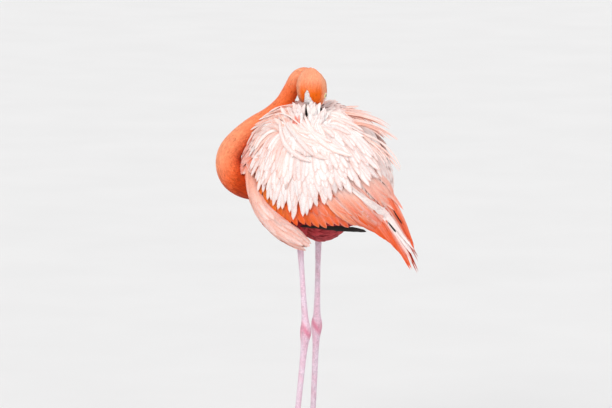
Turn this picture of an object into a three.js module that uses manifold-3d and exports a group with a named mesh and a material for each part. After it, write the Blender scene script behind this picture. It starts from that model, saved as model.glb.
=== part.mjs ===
// A life-size American flamingo that stands on both legs and preens its back, on a display base.
//
// Millimetres. The bird faces -X, its left side is -Y and +Z is up. The origin is the middle of the
// underside of the display base. The bird is modelled with its soles at zero height, and one group
// lifts it onto the base.
//
// Flesh is lofted along bent spines. Feathers are thin blades, joined where they grow together.
// Inner shapes stay whole, and what lies over them is cut away by a grown copy of them, which leaves
// a clearance of CUT between neighbours.

import * as THREE from "three";
import { mergeVertices } from "three/addons/utils/BufferGeometryUtils.js";
import Module from "manifold-3d";

const wasm = await Module();
wasm.setup();

// ---------------------------------------------------------------- driving sizes

const CUT = 0.35; // clearance between neighbouring pieces
const LEFT = -1; // sign of Y on the bird's left side
const RIGHT = 1;
const CRUMB = 1e-4; // points nearer than this are one

// The display base: a plate with round corners, under the feet.
const BASE = { long: 330, wide: 270, thick: 18, corner: 60, bevel: 2.5, middleX: -25 };

// The ellipsoid that the folded wings and the back feathers fill.
const COAT = { at: [5, 0, 600], long: 150, wide: 104, high: 146 };
const RIM_NEAR = 30; // the least distance of the mantle's rim from the coat's middle

// Trunk sections from the breast to the root of the tail: middle, half width and half depth.
const TRUNK = [
  { at: [-142, 0, 640], wide: 18, deep: 23 },
  { at: [-124, 0, 630], wide: 42, deep: 48 },
  { at: [-88, 0, 608], wide: 60, deep: 68 },
  { at: [-58, 0, 598], wide: 71, deep: 82 },
  { at: [-20, 0, 588], wide: 80, deep: 98 },
  { at: [22, 0, 582], wide: 82, deep: 106 },
  { at: [62, 0, 580], wide: 75, deep: 93 },
  { at: [98, 0, 577], wide: 57, deep: 66 },
  { at: [128, 0, 568], wide: 34, deep: 36 },
];

// Neck sections from inside the breast to the back of the head.
const NECK = [
  { at: [-74, 0, 612], wide: 52, deep: 50 },
  { at: [-104, 0, 596], wide: 44, deep: 42 },
  { at: [-136, 0, 589], wide: 35, deep: 34 },
  { at: [-162, -1, 598], wide: 29, deep: 29 },
  { at: [-174, -2, 620], wide: 25, deep: 25.5 },
  { at: [-171, -4, 645], wide: 23, deep: 23.5 },
  { at: [-154, -6, 668], wide: 22, deep: 22 },
  { at: [-123, -9, 696], wide: 20, deep: 20 },
  { at: [-87, -14, 720], wide: 18, deep: 18 },
  { at: [-61, -20, 745], wide: 16.5, deep: 16.5 },
  { at: [-43, -30, 774], wide: 15, deep: 15 },
  { at: [-29, -42, 797], wide: 14.5, deep: 14.5 },
  { at: [-12, -52, 805], wide: 15.5, deep: 15 },
  { at: [0, -56, 795], wide: 18, deep: 17 },
];

const NECK_STEPS = 27; // sections along the whole neck
const NECK_PART = 0.0005; // the clearance between two lengths of the neck, as a share of it

// Names of the neck's lengths, and where each ends along it, from 0 to 1.
const NECK_LENGTHS = [
  ["neck_base", 0.2],
  ["neck_lower", 0.47],
  ["neck_middle", 0.74],
  ["neck_upper", 1],
];

// The head hangs from the end of the neck, with its crown out to the left and the bill down in the
// back feathers. Places on it are [forward, up, out], measured from its middle.
const HEAD = { at: [4, -58, 786], forward: [-0.06, 0.4, -0.915], crown: [-0.26, -0.87, -0.36] };
const SKULL = [
  { at: [-34, -1, 0], wide: 13, deep: 13 },
  { at: [-26, 1, 0], wide: 21, deep: 22 },
  { at: [-10, 2, 0], wide: 27, deep: 28.5 },
  { at: [8, 1, 0], wide: 28.5, deep: 29 },
  { at: [24, -1, 0], wide: 27.5, deep: 26 },
  { at: [38, -2, 0], wide: 22.5, deep: 20 },
];
const EYE = { at: [16, -1, 24], radius: 6.2 };

// Bill sections along its bent middle line, from the face to the tip.
const BILL = [
  { at: [30, -2, 0], wide: 13.5, deep: 16.5 },
  { at: [48, -3, 0], wide: 12.5, deep: 16 },
  { at: [66, -5, 0], wide: 11.5, deep: 15.5 },
  { at: [84, -12, 0], wide: 10.5, deep: 15 },
  { at: [97, -25, 0], wide: 9, deep: 12 },
  { at: [104, -41, 0], wide: 6.5, deep: 8 },
  { at: [106, -54, 0], wide: 2.5, deep: 3 },
];
// Where each mandible lies in the bill's half depth, from -1 on its ventral side to 1 on its dorsal side.
const UPPER_MANDIBLE = [0.3, 1];
const LOWER_MANDIBLE = [-1, 0.24];
const BILL_CLEARANCE = 1.2; // room round the bill in the back feathers
const MANTLE_LIFT = 3; // how far the back feathers stand above the folded wings

// Legs: how far forward or back each one is where it leaves the belly, at the ankle and at the ground.
const LEG = {
  spread: 40, // half the distance between the legs
  exitHigh: 466,
  ankleHigh: 302,
  footHigh: 16,
  left: { exit: -22.8, ankle: -11.8, ground: -43 },
  right: { exit: -3.7, ankle: -7, ground: -20 },
};

// Toes: turn from straight ahead in degrees, length of the toe, and half width at its root.
const TOES = {
  inner: { turn: 31, long: 66, wide: 5 },
  middle: { turn: 2, long: 82, wide: 5.5 },
  outer: { turn: -29, long: 74, wide: 5 },
  hind: { turn: 172, long: 17, wide: 3.2 },
};
const CLAW = { long: 8, radius: 2.3 };
const WEB = { thick: 2.2, low: 0.4, reach: 0.93, hollow: 0.66 };
const UNDERGROUND = 60; // depth of the block that levels the soles

// ---------------------------------------------------------------- small helpers

const vec = (p) => new THREE.Vector3(...p);
const mix = THREE.MathUtils.lerp;
const mixPoint = (a, b, t) => a.map((value, i) => mix(value, b[i], t));
const bell = (t) => Math.sin(Math.PI * t);

/** A manifold solid of a closed three.js geometry. */
function solid(geometry) {
  const bare = geometry.clone();
  bare.deleteAttribute("normal");
  bare.deleteAttribute("uv");
  const merged = mergeVertices(bare, CRUMB);
  const vertProperties = merged.attributes.position.array;
  return new wasm.Manifold(new wasm.Mesh({ numProp: 3, vertProperties, triVerts: merged.index.array }));
}

/** The three.js geometry of a manifold solid. */
function geometryOf(manifold) {
  const mesh = manifold.getMesh();
  const geometry = new THREE.BufferGeometry();
  geometry.setAttribute("position", new THREE.BufferAttribute(mesh.vertProperties, 3));
  geometry.setIndex(new THREE.BufferAttribute(mesh.triVerts, 1));
  return geometry;
}

const joined = (solids) => solids.reduce((sum, next) => sum.add(next));
const without = (body, ...cutters) => cutters.reduce((rest, cutter) => rest.subtract(cutter), body);

/** The largest piece of a solid, without the crumbs that a cut leaves. */
function largest(body) {
  return body.decompose().reduce((best, next) => (next.volume() > best.volume() ? next : best));
}

/**
 * A closed skin over rings of points, with a pole point at each end. Each four-sided face folds on its
 * shorter diagonal.
 */
function skinRings(rings, firstPole, lastPole) {
  const count = rings[0].length;
  const points = [firstPole, ...rings.flat(), lastPole];
  const last = points.length - 1;
  const faces = [];

  for (let k = 0; k < count; k += 1) {
    const next = (k + 1) % count;
    faces.push(0, 1 + next, 1 + k);
    faces.push(last, last - count + k, last - count + next);
    for (let r = 0; r < rings.length - 1; r += 1) {
      const low = 1 + r * count;
      const high = low + count;
      const [a, b, c, d] = [low + k, low + next, high + next, high + k];
      const shorter = points[a].distanceTo(points[c]) <= points[b].distanceTo(points[d]);
      faces.push(...(shorter ? [a, b, c, a, c, d] : [a, b, d, b, c, d]));
    }
  }
  const geometry = new THREE.BufferGeometry();
  const numbers = points.flatMap((point) => point.toArray());
  geometry.setAttribute("position", new THREE.Float32BufferAttribute(numbers, 3));
  geometry.setIndex(faces);
  return solid(geometry);
}

/** Sections between the given ones, on a smooth curve through them. */
function refine(sections, steps, from = 0, to = 1) {
  const smooth = (points) => new THREE.CatmullRomCurve3(points, false, "centripetal");
  const middle = smooth(sections.map((s) => vec(s.at)));
  const size = smooth(sections.map((s) => vec([s.wide, s.deep, 0])));
  return Array.from({ length: steps + 1 }, (_, i) => {
    const t = mix(from, to, i / steps);
    const spread = size.getPoint(t);
    return { at: middle.getPoint(t), along: middle.getTangent(t), wide: spread.x, deep: spread.y };
  });
}

/**
 * A body of oval sections. `depthAxis` is the direction of the sections' depth, `dome` is how far each
 * end bulges as a share of its depth, and `grow` swells the whole body for use as a cutter.
 */
function loft(stations, { sides = 12, depthAxis = [0, 0, 1], dome = [0, 0], grow = 0 } = {}) {
  const rings = stations.map((s) => {
    const across = new THREE.Vector3().crossVectors(vec(depthAxis), s.along).normalize();
    const up = new THREE.Vector3().crossVectors(s.along, across).normalize();
    return Array.from({ length: sides }, (_, k) => {
      const angle = (2 * Math.PI * k) / sides;
      return s.at
        .clone()
        .addScaledVector(across, (s.wide + grow) * Math.cos(angle))
        .addScaledVector(up, (s.deep + grow) * Math.sin(angle));
    });
  });
  const first = stations[0];
  const last = stations[stations.length - 1];
  const firstPole = first.at.clone().addScaledVector(first.along, -dome[0] * first.deep - grow);
  const lastPole = last.at.clone().addScaledVector(last.along, dome[1] * last.deep + grow);
  return skinRings(rings, firstPole, lastPole);
}

/** A prism of an outline drawn round the coat's middle in X and Z, from y0 to y1, swollen by `grow`. */
function prism(outline, y0, y1, grow = 0) {
  const curveSteps = 2;
  const shape = new THREE.Shape();
  const swell = (value, middle) => middle + (value - middle) * (1 + grow / RIM_NEAR);
  const corners = outline.map(([x, z]) => vec([swell(x, COAT.at[0]), swell(z, COAT.at[2]), 0]));
  const rim = new THREE.CatmullRomCurve3(corners, true, "centripetal");
  const rimPoints = rim.getPoints(outline.length * curveSteps).slice(1);
  shape.setFromPoints(rimPoints.map((p) => new THREE.Vector2(p.x, p.y)));
  const geometry = new THREE.ExtrudeGeometry(shape, { depth: y1 - y0, bevelEnabled: false });
  geometry.rotateX(Math.PI / 2);
  geometry.translate(0, y1, 0);
  return solid(geometry);
}

// ---------------------------------------------------------------- feathers

// Half width of a feather blade, as a share of its greatest, at places along it from root to tip.
const BLADE = [
  [0, 0.5],
  [0.45, 1],
  [0.82, 0.78],
];

/**
 * A feather: a thin blade, flat below, with a ridge along its rib. `path` is its three control points,
 * `face` is the way that its top faces at the root and at the tip.
 */
function feather({ path, face, wide, thick }, grow = 0) {
  const rib = new THREE.QuadraticBezierCurve3(...path.map(vec));
  const rings = BLADE.map(([t, share]) => {
    const along = rib.getTangent(t);
    const out = vec(mixPoint(face[0], face[1], t));
    out.addScaledVector(along, -out.dot(along)).normalize();
    const across = new THREE.Vector3().crossVectors(along, out);
    const half = wide * share + grow;
    const high = (thick / 2) * mix(1, 0.5, t);
    const low = -high / 2;
    const at = rib.getPoint(t);
    const offset = (a, b) => at.clone().addScaledVector(across, a).addScaledVector(out, b);
    const keel = grow > 0 ? [offset(0, low - 2 * grow)] : [];
    return [offset(half, low), ...keel, offset(-half, low), offset(0, high + grow)];
  });
  const root = rib.getPoint(0).addScaledVector(rib.getTangent(0), -1 - grow);
  const tip = rib.getPoint(1).addScaledVector(rib.getTangent(1), 2 * grow);
  return skinRings(rings, root, tip);
}

/** The point of the coat's side at [x, z], raised by `lift`. Past the rim it stays near the rim's plane. */
function onCoat([x, z], side, lift = 0) {
  const u = (x - COAT.at[0]) / COAT.long;
  const v = (z - COAT.at[2]) / COAT.high;
  const rise = Math.sqrt(Math.max(1 - u * u - v * v, 0.08));
  return [x, side * (COAT.wide * rise + lift), z];
}

/** The way that the coat's side faces at a point of it. */
function coatFace([x, y, z]) {
  const high = (z - COAT.at[2]) / COAT.high ** 2;
  return vec([(x - COAT.at[0]) / COAT.long ** 2, y / COAT.wide ** 2, high]).normalize().toArray();
}

/** A feather that lies on the coat's side from root to tip, which are [x, z], bowed by `bow` across. */
function lyingFeather({ root, tip, bow = [0, 0], lift = 3, tipLift = 5, wide, thick = 4.5, side }) {
  const centre = [(root[0] + tip[0]) / 2 + bow[0], (root[1] + tip[1]) / 2 + bow[1]];
  const start = onCoat(root, side, lift);
  const over = onCoat(centre, side, (lift + tipLift) / 2);
  const end = onCoat(tip, side, tipLift);
  const control = over.map((value, i) => 2 * value - (start[i] + end[i]) / 2);
  return { path: [start, control, end], face: [coatFace(start), coatFace(end)], wide, thick };
}

// ---------------------------------------------------------------- flesh

/** The trunk, swollen by `grow`. */
const trunkBody = (grow = 0) => loft(refine(TRUNK, 9), { sides: 12, dome: [0.35, 0.45], grow });

/** A length of the neck between two shares of it. */
function neckLength(from, to, grow = 0) {
  const steps = Math.round((to - from) * NECK_STEPS);
  return loft(refine(NECK, steps, from, to), { sides: 10, depthAxis: [0, 1, 0], grow });
}

/** Directions of the head: forward, crown, and out to its left. */
const headForward = vec(HEAD.forward).normalize();
const headCrown = vec(HEAD.crown).addScaledVector(headForward, -vec(HEAD.crown).dot(headForward)).normalize();
const headLeft = new THREE.Vector3().crossVectors(headCrown, headForward);

/** The world place of a point given as [forward, up, out] from the head's middle. */
function onHead([forward, up, out]) {
  const place = vec(HEAD.at).addScaledVector(headForward, forward);
  return place.addScaledVector(headCrown, up).addScaledVector(headLeft, out).toArray();
}

const headSections = (sections) => sections.map((s) => ({ ...s, at: onHead(s.at) }));
const headAxis = { depthAxis: headCrown.toArray() };
const skullShape = { sides: 14, dome: [0.5, 0.2], ...headAxis };
const skullBody = (grow = 0) => loft(refine(headSections(SKULL), 7), { ...skullShape, grow });

/** One mandible, which lies between two shares of the bill's half depth. */
function mandible([low, high], grow = 0) {
  const stations = refine(headSections(BILL), 7).map((s) => {
    const across = new THREE.Vector3().crossVectors(headCrown, s.along).normalize();
    const up = new THREE.Vector3().crossVectors(s.along, across);
    const at = s.at.clone().addScaledVector(up, s.deep * (high + low) / 2);
    return { ...s, at, deep: s.deep * (high - low) / 2 };
  });
  return loft(stations, { sides: 10, dome: [0, 0.4], grow, ...headAxis });
}

/** An eyeball in one side of the head. */
function eyeball(side, grow = 0) {
  const ball = new THREE.SphereGeometry(EYE.radius + grow, 8, 6);
  ball.translate(...onHead([EYE.at[0], EYE.at[1], -side * EYE.at[2]]));
  return solid(ball);
}

/** An ellipsoid of the coat's size, raised by `lift`. */
function coatBody(lift = 0) {
  const ball = new THREE.SphereGeometry(1, 16, 10);
  ball.rotateX(Math.PI / 2);
  ball.scale(COAT.long + lift, COAT.wide + lift, COAT.high + lift);
  ball.translate(...COAT.at);
  return solid(ball);
}

// ---------------------------------------------------------------- feathered parts

// Outline of the folded wing from the side, as [x, z].
const WING_OUTLINE = [
  [-100, 672],
  [-122, 640],
  [-117, 598],
  [-86, 556],
  [-48, 530],
  [-5, 513],
  [50, 511],
  [104, 514],
  [134, 540],
  [140, 590],
  [108, 646],
  [50, 674],
  [-40, 680],
];

const WING_APART = 2; // gap between the two wings under the tail
const COVERTS = 6; // pointed coverts along the lower edge of a wing

// Outline of the ruffled back feathers over the trunk, as [x, z].
const MANTLE_OUTLINE = [
  [-118, 655],
  [-104, 696],
  [-66, 730],
  [-10, 750],
  [36, 744],
  [72, 718],
  [100, 684],
  [112, 650],
  [50, 630],
  [-50, 630],
];

// Long back feathers: turn in degrees in the side view, and length from the middle of their roots.
const SCAPULARS = [
  [222, 136],
  [233, 148],
  [244, 154],
  [255, 162],
  [267, 170],
  [279, 160],
  [291, 146],
  [304, 144],
  [316, 160],
  [327, 172],
];
const SCAPULAR_FAN = { middle: [-10, 702], rootX: 35, rootZ: 9, wide: 12.8, lift: 6.2, rearLift: 8 };
const RIGHT_FAN = 0.93; // length of the right side's fan beside the left one's

// Sections of the bundle of pale feathers that hangs over the thigh, with `wide` as seen from the side.
const FLANK = [
  { at: [-119, 40, 644], wide: 12, deep: 6 },
  { at: [-113, 64, 594], wide: 12, deep: 8 },
  { at: [-93, 82, 551], wide: 15, deep: 9 },
  { at: [-62, 88, 519], wide: 19, deep: 9 },
  { at: [-30, 82, 495], wide: 19, deep: 8 },
  { at: [-8, 74, 481], wide: 9, deep: 4 },
];

// Lifted plumes of the left side, by root, tip and bow of each, as [x, y, z].
const PLUMES_LEFT = [
  { root: [8, -4, 728], tip: [110, 8, 724], bow: [0, 0, 12], wide: 7 },
  { root: [10, -12, 722], tip: [151, -20, 703], bow: [14, 0, 26], wide: 7.5 },
  { root: [20, -28, 712], tip: [168, -32, 680], bow: [22, 0, 30], wide: 8 },
  { root: [30, -48, 696], tip: [178, -58, 626], bow: [36, -4, 42], wide: 8 },
  { root: [40, -56, 690], tip: [128, -66, 650], bow: [14, -6, 16], wide: 9 },
];
const PLUMES_RIGHT = [
  { root: [0, 16, 730], tip: [33, 30, 747], bow: [0, 0, -4], wide: 6 },
  { root: [4, 26, 724], tip: [79, 35, 736], bow: [0, 0, 4], wide: 7 },
  { root: [14, 36, 714], tip: [104, 42, 690], bow: [8, 0, 12], wide: 8 },
  { root: [24, 50, 700], tip: [112, 52, 652], bow: [14, 4, 14], wide: 9 },
];

// Long drooping feathers over the tail, by root and tip as [x, z], and how far they stand off.
const TERTIALS = [
  { root: [70, 566], tip: [119, 503], wide: 11, lift: 3 },
  { root: [78, 572], tip: [141, 488], wide: 11, lift: 3 },
  { root: [86, 579], tip: [158, 478], wide: 11, lift: 4 },
  { root: [93, 588], tip: [175, 456], wide: 12, lift: 5 },
  { root: [98, 598], tip: [189, 431], wide: 12, lift: 6, bow: [9, 7] },
  { root: [84, 596], tip: [184, 500], wide: 12, lift: 5, bow: [10, 8] },
  { root: [96, 616], tip: [190, 478], wide: 13, lift: 6, bow: [16, 12] },
];
const FAR_DROP = 16; // how much lower the longest of them hangs on the right side

/** One side's folded wing, cut off by the trunk, with the pointed coverts along its lower edge. */
function wingBody(side, grow = 0) {
  const inner = side * (WING_APART / 2 - grow);
  const outer = side * COAT.wide * 2;
  const outline = prism(WING_OUTLINE, Math.min(inner, outer), Math.max(inner, outer), grow);
  const shell = outline.intersect(coatBody(grow));
  const coverts = Array.from({ length: COVERTS }, (_, i) => {
    const t = i / (COVERTS - 1);
    const root = [mix(-66, 88, t), mix(560, 540, t)];
    const tip = [mix(-58, 118, t), mix(544, 506, Math.sqrt(t)) - 6 * bell(t)];
    return feather(lyingFeather({ root, tip, side, wide: 11, lift: -4, tipLift: 0 }), grow);
  });
  return joined([shell, ...coverts]);
}

/** The thick coat of short feathers over the back. */
function backFeathers(grow = 0) {
  return prism(MANTLE_OUTLINE, -COAT.wide * 2, COAT.wide * 2, grow).intersect(coatBody(MANTLE_LIFT + grow));
}

/** One side's fan of long back feathers, which stand off more towards the rear. */
function scapularFan(side, grow = 0) {
  const { middle, rootX, rootZ, wide, lift, rearLift } = SCAPULAR_FAN;
  const share = side === LEFT ? 1 : RIGHT_FAN;
  return joined(SCAPULARS.map(([turn, long]) => {
    const angle = THREE.MathUtils.degToRad(turn);
    const way = [Math.cos(angle), Math.sin(angle)];
    const root = [middle[0] + way[0] * rootX, middle[1] + way[1] * rootZ];
    const tip = [middle[0] + way[0] * long * share, middle[1] + way[1] * long * share];
    const rise = rearLift * THREE.MathUtils.smoothstep(turn, 280, 325);
    return feather(lyingFeather({ root, tip, side, wide, lift, tipLift: lift + 1 + rise }), grow);
  }));
}

/** The lifted plumes of a list. */
function plumes(list, grow = 0) {
  return joined(list.map(({ root, tip, bow, wide }) => {
    const control = mixPoint(root, tip, 0.5).map((value, i) => value + bow[i]);
    const side = Math.sign(root[1]) || LEFT;
    const face = [0.2, side * 0.75, 0.6];
    return feather({ path: [root, control, tip], face: [face, face], wide, thick: 4 }, grow);
  }));
}

/** The drooping feathers of one side, over the tail. */
function tertials(side) {
  return joined(TERTIALS.map(({ root, tip, wide, lift, bow }) => {
    const drop = side === RIGHT && tip[1] < 440 ? FAR_DROP : 0;
    const end = [tip[0] + drop / 8, tip[1] - drop];
    const rise = { lift: lift - 2, tipLift: lift + 4 };
    return feather(lyingFeather({ root, tip: end, bow, side, wide, thick: 6, ...rise }));
  }));
}

/** The black flight feathers that show below one wing. */
function remiges(side, grow = 0) {
  return joined([0, 1, 2].map((i) => {
    const root = [-14 + 12 * i, 514 + 4 * i];
    const tip = [116 + 22 * i, 506 + 7 * i];
    const laid = lyingFeather({ root, tip, side, wide: 8, lift: -16, tipLift: -12, thick: 4, bow: [0, -6] });
    return feather(laid, grow);
  }));
}

/** The pale bundle of one side that hangs from the breast to below the belly. */
function flankBundle(side) {
  const stations = FLANK.map((s) => ({ ...s, at: [s.at[0], side * s.at[1], s.at[2]] }));
  return loft(refine(stations, 6), { sides: 8, depthAxis: [0, 1, 0], dome: [0.5, 0.8] });
}

/** The short tail, a fan of five feathers. */
function tailFan(grow = 0) {
  return joined([-2, -1, 0, 1, 2].map((i) => {
    const root = [112, 8 * i, 566];
    const tip = [176 - 3 * Math.abs(i), 13 * i, 506];
    const control = [150, 11 * i, 540];
    const face = [[0.6, 0, 0.8], [0.7, 0, 0.7]];
    return feather({ path: [root, control, tip], face, wide: 9, thick: 5 }, grow);
  }));
}

// ---------------------------------------------------------------- legs and feet

// Half widths of a leg by height, from the thigh down.
const THIGH = [
  [524, 32],
  [504, 25],
  [488, 15],
  [474, 8],
];
const SHANK = [
  [473, 6.6],
  [440, 5.6],
  [412, 5.1],
  [367, 5.6],
  [334, 6.6],
  [323, 7.6],
];
const HOCK = [
  [322, 7.6],
  [312, 10],
  [300, 11],
  [284, 9.3],
  [268, 7],
];
const TARSUS = [
  [267, 6.8],
  [250, 6.2],
  [166, 5.6],
  [70, 5.4],
  [30, 6.4],
  [14, 7.8],
];

/** Where a leg's middle line is at a height. */
function legAt(leg, side, height) {
  const above = (height - LEG.ankleHigh) / (LEG.exitHigh - LEG.ankleHigh);
  const below = height / LEG.ankleHigh;
  const x = height > LEG.ankleHigh ? mix(leg.ankle, leg.exit, above) : mix(leg.ground, leg.ankle, below);
  return [x, side * LEG.spread, height];
}

/** A stretch of a leg from its list of [height, half width]. */
function legLength(leg, side, profile, steps, grow = 0) {
  const stations = profile.map(([height, half]) => (
    { at: legAt(leg, side, height), wide: half, deep: half }
  ));
  return loft(refine(stations, steps), { sides: 8, depthAxis: [1, 0, 0], grow });
}

/** The place at a distance along a toe's direction from the foot's middle, at a height. */
function alongToe(turn, foot, side, distance, height) {
  const angle = THREE.MathUtils.degToRad(180 + side * turn);
  return [foot[0] + Math.cos(angle) * distance, foot[1] + Math.sin(angle) * distance, height];
}

/** A toe as a bent, tapering body that reaches down past the ground. */
function toe({ turn, long, wide }, foot, side, grow = 0) {
  const profile = [
    { share: -0.02, height: 9, half: wide + 1 },
    { share: 0.16, height: 6, half: wide },
    { share: 0.5, height: 3.6, half: wide * 0.8 },
    { share: 0.8, height: 3.2, half: wide * 0.75 },
    { share: 1, height: 2.8, half: wide * 0.5 },
  ];
  const stations = profile.map(({ share, height, half }) => (
    { at: alongToe(turn, foot, side, long * share, height), wide: half, deep: half * 0.95 }
  ));
  return loft(refine(stations, 3), { sides: 6, grow, dome: [0, 0.5] });
}

/** The web between two toes: a thin plate whose free edge curves in. */
function web(a, b, foot, side) {
  const place = ({ turn, long }, share) => {
    const [x, y] = alongToe(turn, foot, side, long * share, 0);
    return new THREE.Vector2(x, y);
  };
  const between = { turn: (a.turn + b.turn) / 2, long: (a.long + b.long) / 2 };
  const hollow = place(between, WEB.hollow);
  const rim = new THREE.QuadraticBezierCurve(place(a, WEB.reach), hollow, place(b, WEB.reach));
  const shape = new THREE.Shape([place(a, 0.02), ...rim.getPoints(4)]);
  const plate = new THREE.ExtrudeGeometry(shape, { depth: WEB.thick, bevelEnabled: false });
  plate.translate(0, 0, WEB.low);
  return solid(plate);
}

/** A claw past the end of a toe, cut level with the ground. */
function claw(one, foot, side) {
  const profile = [
    { past: -1, height: 3.2, half: CLAW.radius },
    { past: CLAW.long * 0.5, height: 2.6, half: CLAW.radius * 0.8 },
    { past: CLAW.long, height: 1.2, half: CLAW.radius * 0.35 },
  ];
  const stations = profile.map(({ past, height, half }) => (
    { at: alongToe(one.turn, foot, side, one.long + past, height), wide: half, deep: half * 0.9 }
  ));
  const nail = loft(refine(stations, 2), { sides: 4, dome: [0, 0.4] });
  return largest(without(nail, toe(one, foot, side, CUT), belowGround()));
}

/** Everything under the soles. */
function belowGround() {
  const block = new THREE.BoxGeometry(2 * BASE.long, 2 * BASE.wide, UNDERGROUND);
  block.translate(0, 0, -UNDERGROUND / 2);
  return solid(block);
}

// ---------------------------------------------------------------- display base

/** The display base: a plate with round corners and a small bevel. */
function standBase() {
  const { long, wide, thick, corner, bevel, middleX } = BASE;
  const x = long / 2 - corner;
  const y = wide / 2 - corner;
  const shape = new THREE.Shape();
  shape.absarc(x, y, corner, 0, Math.PI / 2);
  shape.absarc(-x, y, corner, Math.PI / 2, Math.PI);
  shape.absarc(-x, -y, corner, Math.PI, 1.5 * Math.PI);
  shape.absarc(x, -y, corner, 1.5 * Math.PI, 2 * Math.PI);
  const settings = { depth: thick - 2 * bevel, bevelThickness: bevel, bevelSize: bevel, bevelOffset: -bevel };
  const plate = new THREE.ExtrudeGeometry(shape, { ...settings, bevelSegments: 1, curveSegments: 3 });
  plate.translate(middleX, 0, bevel - thick - CUT);
  return solid(plate);
}

// ---------------------------------------------------------------- assembly

const bird = new THREE.Group();
bird.position.z = BASE.thick + CUT;

/** Adds a solid to the bird as a named mesh. */
function add(name, body, color, roughness = 0.8) {
  const material = new THREE.MeshStandardMaterial({ color, roughness, metalness: 0 });
  const mesh = new THREE.Mesh(geometryOf(body), material);
  mesh.name = name;
  bird.add(mesh);
}

const WALNUT = 0x6b4a30;
const YELLOW = 0xf2dc8c;
const ORANGE = 0xff6a22;
const SALMON = 0xff9468;
const PALE = 0xfbdcd4;
const CRIMSON = 0xb8404a;
const BLACK = 0x14100f;
const IVORY = 0xf2e6da;
const LILAC = 0xe6c4d6;
const ROSE = 0xe05070;

const sides = [
  { word: "left", side: LEFT, leg: LEG.left, plumeList: PLUMES_LEFT },
  { word: "right", side: RIGHT, leg: LEG.right, plumeList: PLUMES_RIGHT },
];

// Grown copies of the inner shapes, which cut away what lies over them.
const trunkCutter = trunkBody(CUT);
const skullCutter = skullBody(CUT);
const neckCutter = neckLength(0, 1, CUT);
const billCutter = joined([UPPER_MANDIBLE, LOWER_MANDIBLE].map((share) => mandible(share, BILL_CLEARANCE)));
const wingCutters = sides.map(({ side }) => wingBody(side, CUT));
const remigesCutters = sides.map(({ side }) => remiges(side, CUT));
const plumeCutters = sides.map(({ plumeList }) => plumes(plumeList, CUT));
const mantleCutter = backFeathers(CUT);

add("stand_base", standBase(), WALNUT, 0.5);
add("trunk", trunkBody(), CRIMSON);

let neckStart = 0;
for (const [name, neckEnd] of NECK_LENGTHS) {
  add(name, without(neckLength(neckStart, neckEnd), trunkCutter, skullCutter), ORANGE);
  neckStart = neckEnd + NECK_PART;
}

add("head", without(skullBody(), eyeball(LEFT, CUT), eyeball(RIGHT, CUT)), SALMON);
add("bill_upper", without(mandible(UPPER_MANDIBLE), skullCutter), IVORY, 0.4);
add("bill_lower", without(mandible(LOWER_MANDIBLE), skullCutter, mandible(UPPER_MANDIBLE, CUT)), IVORY, 0.4);

const ruffled = joined([backFeathers(), ...sides.map(({ plumeList }) => plumes(plumeList))]);
const underBack = [trunkCutter, neckCutter, skullCutter, billCutter, ...wingCutters];
add("mantle", largest(without(ruffled, ...underBack)), PALE);
add("tail", largest(without(tailFan(), trunkCutter, ...remigesCutters, ...wingCutters)), SALMON);

sides.forEach(({ word, side, leg }, i) => {
  const overWing = [wingCutters[i], mantleCutter, plumeCutters[i], neckCutter];
  add(`eye_${word}`, eyeball(side), YELLOW, 0.2);
  add(`wing_${word}`, largest(without(wingBody(side), trunkCutter, neckCutter)), ORANGE);
  add(`scapulars_${word}`, largest(without(scapularFan(side), ...overWing)), PALE);
  add(`tertials_${word}`, largest(without(tertials(side), wingCutters[i], trunkCutter)), ORANGE);
  add(`remiges_${word}`, largest(without(remiges(side), wingCutters[i], trunkCutter)), BLACK, 0.6);
  add(`flank_${word}`, largest(without(flankBundle(side), wingCutters[i], trunkCutter, neckCutter)), PALE);

  const thigh = legLength(leg, side, THIGH, 4);
  add(`thigh_${word}`, largest(without(thigh, trunkCutter, wingCutters[i], remigesCutters[i])), CRIMSON);
  add(`shank_${word}`, legLength(leg, side, SHANK, 5), LILAC);
  add(`ankle_${word}`, legLength(leg, side, HOCK, 4), ROSE);
  add(`tarsus_${word}`, legLength(leg, side, TARSUS, 5), LILAC);

  const foot = legAt(leg, side, LEG.footHigh);
  const toes = Object.values(TOES).map((one) => toe(one, foot, side));
  const webs = [web(TOES.inner, TOES.middle, foot, side), web(TOES.middle, TOES.outer, foot, side)];
  const sole = joined([...toes, ...webs]);
  add(`foot_${word}`, without(sole, belowGround(), legLength(leg, side, TARSUS, 5, CUT)), ROSE);
  for (const [toeName, one] of Object.entries(TOES)) {
    add(`claw_${toeName}_${word}`, claw(one, foot, side), BLACK, 0.4);
  }
});

export default bird;
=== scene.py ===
"""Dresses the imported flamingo: its skin, its coat of feathers, bill, eyes, claws and display base.

Sizes are millimetres in the bird's own frame, whose zero height is the soles, until `metres` turns
them into the frame's metres. The bird faces -X, its left side is -Y and +Z is up.
"""

import logging
import math
from dataclasses import dataclass, field
from enum import Enum, IntEnum
from typing import Callable, Sequence

import bmesh
import bpy
import numpy as np
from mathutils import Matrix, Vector
from mathutils.kdtree import KDTree


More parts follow.
